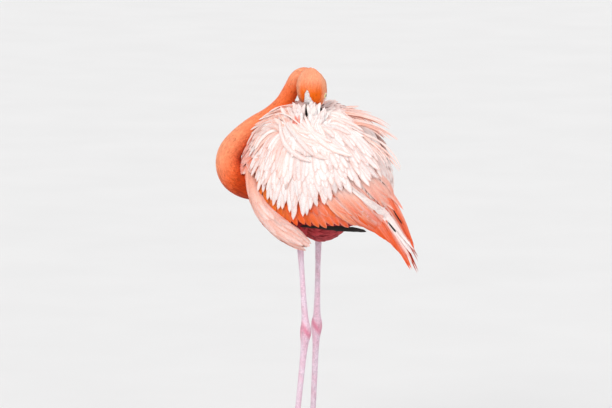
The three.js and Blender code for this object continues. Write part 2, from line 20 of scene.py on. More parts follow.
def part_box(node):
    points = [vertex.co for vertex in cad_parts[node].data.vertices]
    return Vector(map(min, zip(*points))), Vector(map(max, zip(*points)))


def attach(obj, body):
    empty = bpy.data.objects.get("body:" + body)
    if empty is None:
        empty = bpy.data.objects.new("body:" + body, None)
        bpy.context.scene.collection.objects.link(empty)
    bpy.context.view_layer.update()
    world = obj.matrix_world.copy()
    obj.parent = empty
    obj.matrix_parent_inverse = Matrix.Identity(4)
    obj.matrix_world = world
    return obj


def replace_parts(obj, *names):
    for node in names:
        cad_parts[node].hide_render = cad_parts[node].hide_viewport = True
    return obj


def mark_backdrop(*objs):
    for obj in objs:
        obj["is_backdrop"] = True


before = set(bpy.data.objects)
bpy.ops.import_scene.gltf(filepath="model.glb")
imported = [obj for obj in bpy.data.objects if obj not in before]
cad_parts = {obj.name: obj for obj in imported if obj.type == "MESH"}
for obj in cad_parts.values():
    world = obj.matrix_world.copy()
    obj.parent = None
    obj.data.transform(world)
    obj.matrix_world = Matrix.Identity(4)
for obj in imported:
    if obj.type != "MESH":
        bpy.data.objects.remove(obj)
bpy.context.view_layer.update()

log = logging.getLogger("flamingo")
Array = np.ndarray
Chance = np.random.Generator
Material = bpy.types.Material
Object = bpy.types.Object
Mesh = bpy.types.Mesh
Point = tuple[float, float, float]
Rows = tuple[tuple[float, ...], ...]
Sheaves = tuple[tuple[Point, Point, Point, float], ...]
Bareness = Callable[[Array, Array, Array], Array]
Body = tuple[np.ndarray, list[tuple[int, ...]]]  # the points and faces of a closed body

SEED = 20
GAP = 0.35  # clearance of the soles over the base
TURN = 2 * math.pi
GOLDEN = 0.618034  # steps of this share stay evenly spread, however many there are


class Side(IntEnum):
    """A side of the bird, as the sign of its Y."""

    LEFT = -1
    RIGHT = 1

    @property
    def label(self) -> str:
        """The side as the names of pieces and nodes say it."""
        return self.name.lower()


# ---- small helpers


def linear(code: str) -> Array:
    """The linear colour of an sRGB hex code.

    Args:
        code: a colour such as "#FF8844".

    Returns:
        Three linear values from 0 to 1.
    """
    srgb = np.array([int(code[i:i + 2], 16) / 255 for i in (1, 3, 5)])
    return np.where(srgb <= 0.04045, srgb / 12.92, ((srgb + 0.055) / 1.055) ** 2.4)


def unit(vectors: Array) -> Array:
    """Vectors of length one."""
    return vectors / np.maximum(np.linalg.norm(vectors, axis=-1, keepdims=True), 1e-9)


def smoothstep(values: Array, low: float, high: float) -> Array:
    """A soft step from 0 at `low` to 1 at `high`."""
    share = np.clip((values - low) / (high - low), 0, 1)
    return share * share * (3 - 2 * share)


def metres(points: Array) -> Array:
    """Millimetres in the bird's frame as metres in the model's frame."""
    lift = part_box("stand_base")[1][2] * 1000 + GAP
    return (np.asarray(points, dtype=float) + (0, 0, lift)) / 1000


def through(points: Array, share: Array) -> Array:
    """Places on a smooth curve through points.

    Args:
        points: the points, one a row.
        share: places along the curve from 0 to 1, evenly spaced by point.

    Returns:
        A row for each share.
    """
    points = np.asarray(points, dtype=float)
    last = len(points) - 1
    place = np.clip(np.asarray(share, dtype=float), 0, 1) * last
    low = np.minimum(place.astype(int), last - 1)
    part = (place - low)[..., None]
    slope = np.gradient(points, axis=0)
    a, b, da, db = points[low], points[low + 1], slope[low], slope[low + 1]
    return (a * (2 * part**3 - 3 * part**2 + 1) + da * (part**3 - 2 * part**2 + part)
            + b * (3 * part**2 - 2 * part**3) + db * (part**3 - part**2))


def turns(count: int) -> Array:
    """Angles spaced evenly round a whole turn."""
    return np.linspace(0, TURN, count, endpoint=False)


def spread(count: int) -> Array:
    """Shares from 0 to 1 in a mixed order, evenly spread."""
    return (np.arange(count) * GOLDEN) % 1.0


# ---- surfaces that feathers lie on


class Surface:
    """A surface with two coordinates, a along and b round or down. `step` is a small change of them."""

    step = 0.002

    def at(self, a: Array, b: Array) -> Array:
        """Points of the surface."""
        raise NotImplementedError

    def inside(self, a: Array, b: Array) -> Array:
        """Points inside the body below the surface's points."""
        raise NotImplementedError

    def unwrap(self, a: Array, b: Array) -> Array:
        """Places on the flat unwrap of the surface, from 0 to 1."""
        raise NotImplementedError

    def normal(self, a: Array, b: Array) -> Array:
        """Unit vectors out of the surface."""
        along = self.at(a + self.step, b) - self.at(a - self.step, b)
        across = self.at(a, b + self.step) - self.at(a, b - self.step)
        out = unit(np.cross(along, across))
        away = self.at(a, b) - self.inside(a, b)
        return out * np.sign(np.sum(out * away, axis=-1, keepdims=True) + 1e-12)


@dataclass
class Loft(Surface):
    """A body of oval sections along a bent middle line, with a from 0 to 1 and b the turn round it."""

    sections: Sequence[tuple[float, float, float, float, float]]
    depth_axis: Point = (0, 0, 1)
    grow: float = 0.0
    near = 0.004  # the share of the length over which a direction or a pace is taken

    def frame(self, a: Array) -> tuple[Array, Array, Array, Array]:
        """The middle, the two directions and the half sizes of sections."""
        table = np.array(self.sections, dtype=float)
        row = through(table, a)
        ahead = through(table, np.clip(a + self.near, 0, 1))
        behind = through(table, np.clip(a - self.near, 0, 1))
        along = unit(ahead - behind)[..., :3]
        across = unit(np.cross(np.array(self.depth_axis, dtype=float), along))
        up = np.cross(along, across)
        return row[..., :3], across, up, row[..., 3:] + self.grow

    def at(self, a: Array, b: Array) -> Array:
        """Points of the surface."""
        middle, across, up, half = self.frame(a)
        return (middle + across * (half[..., :1] * np.cos(b)[..., None])
                + up * (half[..., 1:] * np.sin(b)[..., None]))

    def inside(self, a: Array, b: Array) -> Array:
        """The middle line."""
        return self.frame(a)[0]

    def unwrap(self, a: Array, b: Array) -> Array:
        """The turn and the place along as a flat sheet."""
        return np.stack([(b / TURN) % 1.0, a], axis=-1)

    def rings(self, count: int, sides: int) -> Array:
        """Rings of points along the body."""
        return self.at(*np.meshgrid(np.linspace(0, 1, count), turns(sides), indexing="ij"))

    def pace(self, a: Array) -> Array:
        """Millimetres of the middle line for each unit of its coordinate."""
        low, high = np.clip(a - self.near, 0, 1), np.clip(a + self.near, 0, 1)
        run = np.linalg.norm(self.frame(high)[0] - self.frame(low)[0], axis=-1)
        return run / (high - low)

    def roots(self, row_mm: float, gap_mm: float, chance: Chance, low: float,
              high: float) -> tuple[Array, Array]:
        """Staggered rows of roots over the body.

        Args:
            row_mm: distance between rows.
            gap_mm: distance between roots of a row.
            chance: the source of random numbers.
            low: where the rows start along the body.
            high: where they end.

        Returns:
            The two coordinates of each root.
        """
        samples = np.linspace(low, high, 400)
        middle, _, _, half = self.frame(samples)
        run = np.concatenate([[0.0], np.cumsum(np.linalg.norm(np.diff(middle, axis=0), axis=1))])
        along, round_ = [], []
        for row, distance in enumerate(np.arange(row_mm / 2, run[-1], row_mm)):
            size = np.interp(distance, run, half.mean(axis=1))
            count = max(6, round(TURN * size / gap_mm))
            uneven = 0.35 * (chance.random((2, count)) - 0.5)
            round_.append((np.arange(count) + 0.5 * (row % 2) + uneven[0]) * TURN / count)
            along.append(np.interp(distance + row_mm * uneven[1], run, samples))
        return np.concatenate(along), np.concatenate(round_)


@dataclass(frozen=True)
class Coat:
    """The ellipsoid that the folded wings and the back feathers fill."""

    x: float = 5
    z: float = 600
    long: float = 150
    wide: float = 104
    high: float = 146


COAT = Coat()


class CoatSurface(Surface):
    """A surface of the coat, with a the place along X."""

    step = 0.5

    def inside(self, a: Array, b: Array) -> Array:
        """The middle of the coat."""
        return np.stack([np.full_like(a, COAT.x), np.zeros_like(a), np.full_like(a, COAT.z)], axis=-1)

    def sheet(self, turn: Array, a: Array) -> Array:
        """The turn round the body and the place along it, as places on the unwrap."""
        return np.stack([(turn / TURN) % 1.0, np.clip((a + 160) / 380, 0, 1)], axis=-1)


@dataclass
class CoatSide(CoatSurface):
    """One side of the coat, with b the height.

    Past `rim`, a share of the rise over the middle plane, the surface turns smoothly into a wall, and
    `rim_blend` says how softly.
    """

    side: Side
    rim: float = 0.08
    rim_blend: float = 0.0036

    def at(self, a: Array, b: Array) -> Array:
        """Points of the side. Past the rim they stay near the rim's plane."""
        rise = 1 - ((a - COAT.x) / COAT.long) ** 2 - ((b - COAT.z) / COAT.high) ** 2
        rise = (rise + self.rim + np.sqrt((rise - self.rim) ** 2 + self.rim_blend)) / 2
        y = self.side * COAT.wide * np.sqrt(rise)
        return np.stack([a, y, b], axis=-1)

    def normal(self, a: Array, b: Array) -> Array:
        """Unit vectors out of the ellipsoid."""
        x, y, z = np.moveaxis(self.at(a, b), -1, 0)
        return unit(np.stack([(x - COAT.x) / COAT.long**2, y / COAT.wide**2,
                              (z - COAT.z) / COAT.high**2], -1))

    def unwrap(self, a: Array, b: Array) -> Array:
        """The turn round the body and the place along it."""
        height = (b - COAT.z) / COAT.high
        return self.sheet(np.arctan2(self.side * np.sqrt(np.maximum(1 - height**2, 0.01)), height), a)


@dataclass
class CoatRound(CoatSurface):
    """The coat all round, with b the arc from the top to the right, on a circle of `radius`."""

    lift: float = 0.0
    radius: float = 122.0

    def at(self, a: Array, b: Array) -> Array:
        """Points of the coat."""
        c = np.sqrt(np.maximum(1 - ((a - COAT.x) / (COAT.long + self.lift)) ** 2, 0.02))
        turn = b / self.radius
        return np.stack([a, (COAT.wide + self.lift) * c * np.sin(turn),
                         COAT.z + (COAT.high + self.lift) * c * np.cos(turn)], axis=-1)

    def unwrap(self, a: Array, b: Array) -> Array:
        """The turn round the body and the place along it."""
        return self.sheet(b / self.radius, a)


# ---- feathers


@dataclass(frozen=True)
class Blade:
    """The outline and the section of one kind of feather.

    `outline` holds places along the feather and its half width there, as shares. `camber` is how far
    the vane arches across, as a share of its half width, and `rag` how uneven its edges are.
    """

    outline: Rows
    rings: int = 4
    top: int = 3
    thick: float = 0.5
    camber: float = 0.18
    rag: float = 0.0

    def along(self) -> Array:
        """Places of the rings, closer together towards the tip, and of the tip."""
        share = np.linspace(0, 1, self.rings + 1)[:-1]
        return np.append(share * (1.25 - 0.25 * share), 1.0)

    def width(self, along: Array) -> Array:
        """Half widths at places along the feather, as shares."""
        places, widths = np.array(self.outline).T
        return np.interp(along, places, widths)

    def section(self) -> tuple[Array, Array]:
        """The ring's points: how far across each is, and whether it is on the top or the underside."""
        across = np.linspace(-1, 1, self.top)
        under = across[1:-1][::-1] if self.top > 3 else np.zeros(1)
        side = np.concatenate([np.zeros(1), np.ones(self.top - 2), np.zeros(1), -np.ones(len(under))])
        return np.concatenate([across, under]), side


SHORT = Blade(((0, 0.55), (0.45, 1), (0.8, 0.72), (1, 0.1)), rings=3, thick=0.3, camber=0.14)
BODY = Blade(((0, 0.4), (0.5, 1), (0.8, 0.8), (1, 0.1)), rings=6, thick=0.5, camber=0.25, rag=0.12)
LONG = Blade(((0, 0.3), (0.2, 0.7), (0.5, 1), (0.8, 0.92), (0.94, 0.62), (1, 0.1)),
             rings=18, top=5, thick=0.9, camber=0.16, rag=0.1)
BROAD = Blade(((0, 0.2), (0.3, 0.75), (0.6, 1), (0.82, 0.78), (0.94, 0.4), (1, 0.04)),
              rings=14, top=5, thick=0.9, camber=0.2, rag=0.08)
PLUME = Blade(((0, 0.5), (0.3, 1), (0.6, 0.8), (0.85, 0.5), (1, 0.05)),
              rings=18, top=5, thick=0.9, camber=0.2, rag=0.16)


@dataclass
class Plumage:
    """Feathers of one piece, gathered before they become one mesh.

    `tone` is how much the lightness of whole feathers varies and `speck` that of their vertices.
    `edging` is how far the edge's colour reaches in, and `patch` the size of a feather's place on the
    unwrap.
    """

    name: str
    blade: Blade
    chance: Chance
    tone: float = 0.06
    speck: float = 0.05
    edging: float = 0.8
    patch: float = 0.0015
    parts: list[dict[str, Array]] = field(default_factory=list)

    def grow(self, path: Array, face: Array, half: Array | float, root: Array,
             hues: Sequence[Array]) -> None:
        """Adds feathers.

        Args:
            path: points of the rib of each feather, one a ring and one at the tip.
            face: the way its flat side faces at each of them.
            half: the greatest half width of each feather.
            root: the place of each root on the unwrap.
            hues: colours at the root, the middle, the tip and the edge, one for all or a row for each.
        """
        blade, chance, count = self.blade, self.chance, len(path)
        along = blade.along()
        across, side = blade.section()
        rings, points = blade.rings, len(across)
        tangent = unit(np.gradient(path, axis=1))
        out = unit(face - tangent * np.sum(face * tangent, axis=-1, keepdims=True))
        sideways = np.cross(tangent, out)
        width = np.broadcast_to(half, count)[:, None] * blade.width(along)[None, :]
        uneven = 1 + blade.rag * chance.standard_normal((count, rings + 1, points)).clip(-2, 1)
        uneven[:, :, np.abs(across) < 0.9] = 1
        reach = across[None, None, :] * width[:, :, None] * uneven
        taper = np.linspace(1, 0.4, rings + 1)[None, :, None]
        height = (side[None, None, :] * blade.thick / 2 * taper
                  + blade.camber * width[:, :, None] * (1 - across**2)[None, None, :])
        place = (path[:, :, None, :] + sideways[:, :, None, :] * reach[..., None]
                 + out[:, :, None, :] * height[..., None])
        body = place[:, :rings].reshape(count, rings * points, 3)
        vertices = np.concatenate([body, path[:, -1:, :]], axis=1)

        root_hue, middle, tip, edge = (np.broadcast_to(hue, (count, 3))[:, None, None, :] for hue in hues)
        part = along[None, :, None, None]
        colour = np.where(part < 0.5, root_hue + (middle - root_hue) * part * 2,
                          middle + (tip - middle) * (part * 2 - 1))
        rim = (np.abs(across)[None, None, :, None] ** 2) * self.edging
        colour = colour + (edge - colour) * rim
        shade = (1 + self.tone * chance.standard_normal((count, 1, 1, 1))
                 + self.speck * chance.standard_normal((count, rings + 1, points, 1)))
        colour = np.clip(colour * shade, 0, 1)
        hue = np.concatenate([colour[:, :rings].reshape(count, rings * points, 3), colour[:, -1, :1, :]],
                             axis=1)

        lay_u = np.concatenate([np.tile(across, rings), [0.0]]) * self.patch * 0.6
        lay_v = np.concatenate([np.repeat(along[:-1], points), [1.0]]) * 2 * self.patch - self.patch
        bake = np.clip(root[:, None, :] + np.stack([lay_u, lay_v], -1)[None], 0, 1)
        size = np.linalg.norm(path[:, -1] - path[:, 0], axis=-1)[:, None]
        vane_u = np.concatenate([reach[:, :rings].reshape(count, -1), np.zeros((count, 1))], axis=1)
        vane_v = np.concatenate([np.repeat(along[:-1], points), [1.0]])[None] * size
        vane = np.stack([vane_u, vane_v], -1) / 1000 + chance.random((count, 1, 2))
        self.parts.append({"vertices": vertices, "hue": hue, "bake": bake, "vane": vane})

    def faces(self) -> tuple[Array, Array, Array]:
        """Vertex numbers of one feather's faces, the size of each face, and which of its edges are rims.

        Returns:
            The three arrays.
        """
        points, rings = len(self.blade.section()[0]), self.blade.rings
        index: list[int] = list(range(points))[::-1]
        sizes = [points]
        rim = [True] * points
        on_rim = [k in (0, self.blade.top - 1) for k in range(points)]
        for ring in range(rings - 1):
            for k in range(points):
                after = (k + 1) % points
                low = ring * points
                index += [low + k, low + after, low + points + after, low + points + k]
                rim += [False, on_rim[after], False, on_rim[k]]
                sizes.append(4)
        last = (rings - 1) * points
        for k in range(points):
            after = (k + 1) % points
            index += [last + k, last + after, rings * points]
            rim += [False, on_rim[after], on_rim[k]]
            sizes.append(3)
        return np.array(index), np.array(sizes), np.array(rim)

    def piece(self, finish: Material) -> Object:
        """The feathers as one object.

        Args:
            finish: the material.

        Returns:
            The piece.
        """
        data = {key: np.concatenate([part[key] for part in self.parts]) for key in self.parts[0]}
        count, each = data["vertices"].shape[:2]
        index, sizes, rim = self.faces()
        loops = (index[None] + each * np.arange(count)[:, None]).ravel()
        totals = np.tile(sizes, count)
        mesh = bpy.data.meshes.new(self.name)
        mesh.vertices.add(count * each)
        mesh.vertices.foreach_set("co", metres(data["vertices"].reshape(-1, 3)).ravel())
        mesh.loops.add(len(loops))
        mesh.loops.foreach_set("vertex_index", loops.astype(np.int32))
        mesh.polygons.add(len(totals))
        mesh.polygons.foreach_set("loop_start", (np.cumsum(totals) - totals).astype(np.int32))
        mesh.update(calc_edges=True)
        edges = np.empty(len(loops), dtype=np.int32)
        mesh.loops.foreach_get("edge_index", edges)
        sharp = np.zeros(len(mesh.edges), dtype=bool)
        sharp[edges[np.tile(rim, count)]] = True
        mesh.edges.foreach_set("use_edge_sharp", sharp)
        for layer, key in (("OFBake", "bake"), ("Vane", "vane")):
            values = data[key].reshape(-1, 2)[loops]
            mesh.uv_layers.new(name=layer).data.foreach_set("uv", values.ravel())
        paint(mesh, data["hue"].reshape(-1, 3))
        return place_object(self.name, mesh, finish)


def paint(mesh: Mesh, hue: Array) -> None:
    """Writes a linear colour for each vertex into the mesh's colour attribute."""
    layer = mesh.color_attributes.new(name="Tint", type="FLOAT_COLOR", domain="POINT")
    layer.data.foreach_set("color", np.concatenate([hue, np.ones((len(hue), 1))], axis=1).ravel())


def linked(name: str, data: bpy.types.ID) -> Object:
    """A new object of a mesh, a light or a camera, in the scene."""
    item = bpy.data.objects.new(name, data)
    bpy.context.scene.collection.objects.link(item)
    return item


def place_object(name: str, mesh: Mesh, finish: Material) -> Object:
    """A smooth object of a mesh, in the scene, riding on the model's one body."""
    mesh.polygons.foreach_set("use_smooth", np.ones(len(mesh.polygons), dtype=bool))
    mesh.materials.clear()
    mesh.materials.append(finish)
    piece = linked(name, mesh)
    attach(piece, "root")
    return piece


def bent(root: Array, control: Array, tip: Array, blade: Blade) -> Array:
    """Ribs that run from roots to tips and bend towards control points."""
    along = blade.along()[None, :, None]
    return (root[:, None] * (1 - along) ** 2 + 2 * control[:, None] * along * (1 - along)
            + tip[:, None] * along**2)


def lay(surface: Surface, a: Array, b: Array, da: Array, db: Array, blade: Blade,
        lift: tuple[float, float], curl: Array | float = 0.0,
        bow: Array | float = 0.0) -> tuple[Array, Array]:
    """Paths of feathers that lie on a surface.

    Args:
        surface: what they lie on.
        a: the first coordinate of each root.
        b: the second one.
        da: how far each feather runs in the first coordinate.
        db: how far it runs in the second one.
        blade: the kind of feather.
        lift: height over the surface at the root and at the tip.
        curl: how much further each tip stands off.
        bow: sideways bend, as a share of the run.

    Returns:
        The points of each rib and the way that the feather faces there.
    """
    along = blade.along()
    arch = np.sin(math.pi * along)[None] * np.broadcast_to(bow, a.shape)[:, None]
    at_a = a[:, None] + da[:, None] * along + db[:, None] * arch
    at_b = b[:, None] + db[:, None] * along - da[:, None] * arch
    out = surface.normal(at_a, at_b)
    rise = lift[0] + (lift[1] - lift[0]) * along[None]
    rise = rise + np.broadcast_to(curl, a.shape)[:, None] * along[None] ** 2
    return surface.at(at_a, at_b) + out * rise[..., None], out


# ---- sizes of the bird

# Sections as x, y, z of the middle, half width and half depth.
TRUNK = Loft((
    (-142, 0, 640, 18, 23), (-124, 0, 630, 42, 48), (-88, 0, 608, 60, 68), (-58, 0, 598, 71, 82),
    (-20, 0, 588, 80, 98), (22, 0, 582, 82, 106), (62, 0, 580, 75, 93), (98, 0, 577, 57, 66),
    (128, 0, 568, 34, 36), (138, 0, 563, 12, 12),
))
NECK = Loft((
    (-74, 0, 612, 52, 50), (-104, 0, 596, 44, 42), (-136, 0, 589, 35, 34), (-162, -1, 598, 29, 29),
    (-174, -2, 620, 25, 25.5), (-171, -4, 645, 23, 23.5), (-154, -6, 668, 22, 22),
    (-123, -9, 696, 20, 20), (-87, -14, 720, 18, 18), (-61, -20, 745, 16.5, 16.5),
    (-43, -30, 774, 15, 15), (-29, -42, 797, 14.5, 14.5), (-12, -52, 805, 15.5, 15), (0, -56, 795, 18, 17),
), depth_axis=(0, 1, 0))


@dataclass(frozen=True)
class HeadFrame:
    """The head's middle and its directions: forward to the bill, up to the crown, out to its left."""

    middle: Point = (4, -58, 786)
    forward: Point = (-0.06, 0.4, -0.915)
    crown: Point = (-0.26, -0.87, -0.36)

    def axes(self) -> tuple[Array, Array, Array]:
        """Unit vectors forward, up and out to the left."""
        ahead = unit(np.array(self.forward, dtype=float))
        crown = np.array(self.crown, dtype=float)
        up = unit(crown - ahead * crown.dot(ahead))
        return ahead, up, np.cross(up, ahead)

    def place(self, ahead: Array, up: Array, out: Array) -> Array:
        """The bird's coordinates of places on the head."""
        f, u, o = self.axes()
        return (np.array(self.middle) + np.asarray(ahead)[..., None] * f + np.asarray(up)[..., None] * u
                + np.asarray(out)[..., None] * o)

    def coordinates(self, points: Array) -> tuple[Array, Array, Array]:
        """Forward, up and out to the left of points of the bird, from the head's middle."""
        away = np.asarray(points) - np.array(self.middle)
        return tuple(away @ axis for axis in self.axes())

    def loft(self, sections: Sequence[tuple[float, float, float, float]]) -> Loft:
        """A body of sections given as forward, up, half width and half depth."""
        rows = [(*self.place(ahead, up, 0.0), wide, deep) for ahead, up, wide, deep in sections]
        return Loft(tuple(rows), depth_axis=tuple(self.axes()[1]))


HEAD = HeadFrame()
SKULL = HEAD.loft((
    (-37, -3, 3, 3), (-34, -2, 11, 11), (-26, 0, 20, 20.5), (-10, 2, 27, 28.5), (8, 1, 28.5, 29),
    (24, -1, 27.5, 26), (38, -2, 22.5, 20), (44, -2, 8, 8),
))


@dataclass(frozen=True)
class EyePlace:
    """Where the left eye's middle is on the head, and its radius. The right one mirrors it."""

    ahead: float = 16.0
    up: float = -1.0
    out: float = 24.0
    radius: float = 6.2


EYE = EyePlace()


@dataclass(frozen=True)
class LegLine:
    """Where a leg's middle line runs, through the thigh's end, the ankle and the ground."""

    side: Side
    exit_x: float
    ankle_x: float
    ground_x: float
    spread: float = 40
    exit_high: float = 466
    ankle_high: float = 302

    def at(self, height: Array) -> Array:
        """The middle line at heights."""
        height = np.asarray(height, dtype=float)
        above = self.ankle_x + (self.exit_x - self.ankle_x) * (height - self.ankle_high) / (
            self.exit_high - self.ankle_high)
        below = self.ground_x + (self.ankle_x - self.ground_x) * height / self.ankle_high
        x = np.where(height > self.ankle_high, above, below)
        return np.stack([x, np.full_like(x, self.side * self.spread), height], axis=-1)

    def loft(self, profile: Sequence[tuple[float, float]]) -> Loft:
        """A body of round sections from heights and half widths."""
        rows = [(*self.at(height), half, half) for height, half in profile]
        return Loft(tuple(rows), depth_axis=(1, 0, 0))


LEGS = {Side.LEFT: LegLine(Side.LEFT, -22.8, -11.8, -43), Side.RIGHT: LegLine(Side.RIGHT, -3.7, -7, -20)}
# Heights and half widths from the top down.
THIGH = ((530, 32), (524, 31), (504, 25), (488, 15), (474, 8))
LEG = (
    (500, 7), (473, 6.6), (440, 5.6), (412, 5.1), (367, 5.6), (334, 6.6), (322, 7.8), (311, 10.2), (300, 11),
    (289, 9.9), (278, 8), (262, 6.7), (240, 6.1), (166, 5.6), (70, 5.4), (30, 6.4), (14, 7.8), (9, 6),
)
# The turn of each toe outwards in degrees, and its length.
TOES = {"inner": (31, 66), "middle": (2, 82), "outer": (-29, 74), "hind": (172, 17)}


# ---- finishes


class Nodes:
    """A material's node tree, built a node at a time."""

    def __init__(self, name: str) -> None:
        """Starts a material with an empty tree.

        Args:
            name: the material's name.
        """
        self.material = bpy.data.materials.new(name)
        self.material.use_nodes = True
        self.tree = self.material.node_tree
        self.tree.nodes.clear()

    def add(self, kind: str, links: dict[str | int, object] | None = None,
            stops: Sequence[tuple[float, object]] = (), **settings: object) -> bpy.types.Node:
        """Adds a node.

        Args:
            kind: the node's type.
            links: its inputs, each a value or the output socket that feeds it.
            stops: the places on its ramp, each with a grey or a linear colour.
            **settings: the node's own settings.

        Returns:
            The node.
        """
        node = self.tree.nodes.new(kind)
        for key, value in settings.items():
            setattr(node, key, value)
        for key, value in (links or {}).items():
            if isinstance(value, bpy.types.NodeSocket):
                self.tree.links.new(value, node.inputs[key])
            else:
                node.inputs[key].default_value = value
        for index, (place, colour) in enumerate(stops):
            stop = node.color_ramp.elements[index]
            stop.position, stop.color = place, (*np.broadcast_to(colour, 3), 1)
        return node

    def tinted(self, *shades: bpy.types.NodeSocket) -> bpy.types.NodeSocket:
        """The piece's own tint, multiplied by grey patterns.

        Args:
            *shades: the socket of each pattern.

        Returns:
            The socket of the colour.
        """
        colour = self.add("ShaderNodeAttribute", attribute_name="Tint").outputs["Color"]
        for shade in shades:
            colour = self.add("ShaderNodeMix", {"Factor": 1.0, 6: colour, 7: shade}, data_type="RGBA",
                              blend_type="MULTIPLY").outputs[2]
        return colour

    def finish(self, colour: object, roughness: object, **shader: object) -> Material:
        """Ends the tree in a shader.

        Args:
            colour: the base colour, or the socket that gives it.
            roughness: the roughness, or its socket.
            **shader: other shader inputs, with spaces written as underscores.

        Returns:
            The material.
        """
        inputs = {"Base Color": colour, "Roughness": roughness}
        inputs.update({key.replace("_", " "): value for key, value in shader.items()})
        principled = self.add("ShaderNodeBsdfPrincipled", inputs)
        self.add("ShaderNodeOutputMaterial", {"Surface": principled.outputs[0]})
        return self.material


@dataclass(frozen=True)
class FeatherFinish:
    """Keratin vanes, matt, with soft barbs combed out from the rib.

    `barb_mm` is the spacing of the clumps of barbs. Real barbs lie a third of a millimetre apart, too
    fine to show, so they are drawn as the clumps that the eye sees. `depth` is how dark the gaps are.
    """

    name: str
    roughness: float = 0.72
    barb_mm: float = 1.6
    depth: float = 0.35

    def material(self) -> Material:
        """Makes the material, with its colour from the piece's tint.

        Returns:
            The material.
        """
        nodes = Nodes(self.name)
        vane = nodes.add("ShaderNodeUVMap", uv_map="Vane").outputs[0]
        parts = nodes.add("ShaderNodeSeparateXYZ", {0: vane})
        off_rib = nodes.add("ShaderNodeMath", {0: parts.outputs[0]}, operation="ABSOLUTE")
        slant = nodes.add("ShaderNodeMath", {0: off_rib.outputs[0], 1: -0.8, 2: parts.outputs[1]},
                          operation="MULTIPLY_ADD")
        comb = nodes.add("ShaderNodeCombineXYZ", {0: slant.outputs[0], 1: parts.outputs[0]})
        noise = nodes.add("ShaderNodeTexNoise", {"Vector": comb.outputs[0], "Scale": 1000 / self.barb_mm,
                                                 "Detail": 2.0, "Roughness": 0.6}).outputs["Fac"]
        barbs = nodes.add("ShaderNodeValToRGB", {0: noise}, ((0.3, 1 - self.depth), (0.62, 1.0)))
        bump = nodes.add("ShaderNodeBump", {"Strength": 0.35, "Distance": 0.0004, "Height": noise})
        return nodes.finish(nodes.tinted(barbs.outputs[0]), self.roughness, Normal=bump.outputs[0],
                            Sheen_Weight=0.08, Sheen_Roughness=0.5, Specular_IOR_Level=0.12)


@dataclass(frozen=True)
class DownFinish:
    """Matted down under the feathers, quite matt, drawn as soft clumps a few millimetres across."""

    name: str = "matted_down"
    clump_mm: float = 5.0

    def material(self) -> Material:
        """The material, with its colour from the piece's tint."""
        nodes = Nodes(self.name)
        place = nodes.add("ShaderNodeTexCoord").outputs["Object"]
        noise = nodes.add("ShaderNodeTexNoise", {"Vector": place, "Scale": 1000 / self.clump_mm,
                                                 "Detail": 3.0}).outputs["Fac"]
        clumps = nodes.add("ShaderNodeValToRGB", {0: noise}, ((0.3, 0.85), (0.65, 1.0)))
        return nodes.finish(nodes.tinted(clumps.outputs[0]), 0.85, Specular_IOR_Level=0.12)


@dataclass(frozen=True)
class SkinFinish:
    """Scaly leg skin and the fine skin under the feathers, satin, with the piece's tint.

    The scales of the leg are plates about 4 mm high, drawn by a cell pattern of that size with darker
    grooves. The skin's colour also changes in patches of about 6 mm.
    """

    name: str = "leg_and_body_skin"
    scale_mm: float = 3.6
    patch_mm: float = 1000 / 180

    def material(self) -> Material:
        """Makes the material, with its colour from the piece's tint.

        Returns:
            The material.
        """
        nodes = Nodes(self.name)
        place = nodes.add("ShaderNodeTexCoord").outputs["Object"]
        cells = nodes.add("ShaderNodeTexVoronoi", {"Vector": place, "Scale": 1000 / self.scale_mm},
                          feature="DISTANCE_TO_EDGE").outputs["Distance"]
        grooves = nodes.add("ShaderNodeValToRGB", {0: cells}, ((0.0, 0.72), (0.12, 1.0))).outputs[0]
        mottle = nodes.add("ShaderNodeTexNoise", {"Vector": place, "Scale": 1000 / self.patch_mm,
                                                  "Detail": 3.0}).outputs["Fac"]
        patches = nodes.add("ShaderNodeValToRGB", {0: mottle}, ((0.35, 0.86), (0.65, 1.0))).outputs[0]
        bump = nodes.add("ShaderNodeBump", {"Strength": 0.4, "Distance": 0.0006, "Height": grooves})
        return nodes.finish(nodes.tinted(grooves, patches), 0.48, Normal=bump.outputs[0],
                            Specular_IOR_Level=0.4)


@dataclass(frozen=True)
class HornFinish:
    """Horn of the bill and claws, polished by use, with faint growth lines and the piece's tint."""

    name: str
    roughness: float = 0.32
    line_mm: float = 1000 / 420

    def material(self) -> Material:
        """The material, with its colour from the piece's tint."""
        nodes = Nodes(self.name)
        place = nodes.add("ShaderNodeTexCoord").outputs["Object"]
        lines = nodes.add("ShaderNodeTexNoise", {"Vector": place, "Scale": 1000 / self.line_mm,
                                                 "Detail": 4.0}).outputs["Fac"]
        faint = nodes.add("ShaderNodeValToRGB", {0: lines}, ((0.3, 0.9), (0.7, 1.0)))
        bump = nodes.add("ShaderNodeBump", {"Strength": 0.15, "Distance": 0.0003, "Height": lines})
        return nodes.finish(nodes.tinted(faint.outputs[0]), self.roughness, Normal=bump.outputs[0], IOR=1.55)


@dataclass(frozen=True)
class EyeFinish:
    """A glass eye with its iris painted behind the dome, wet and bright."""

    name: str = "painted_glass_eye"

    def material(self) -> Material:
        """The material, with its colour from the piece's tint."""
        nodes = Nodes(self.name)
        return nodes.finish(nodes.tinted(), 0.08, IOR=1.5, Coat_Weight=1.0, Coat_Roughness=0.03)


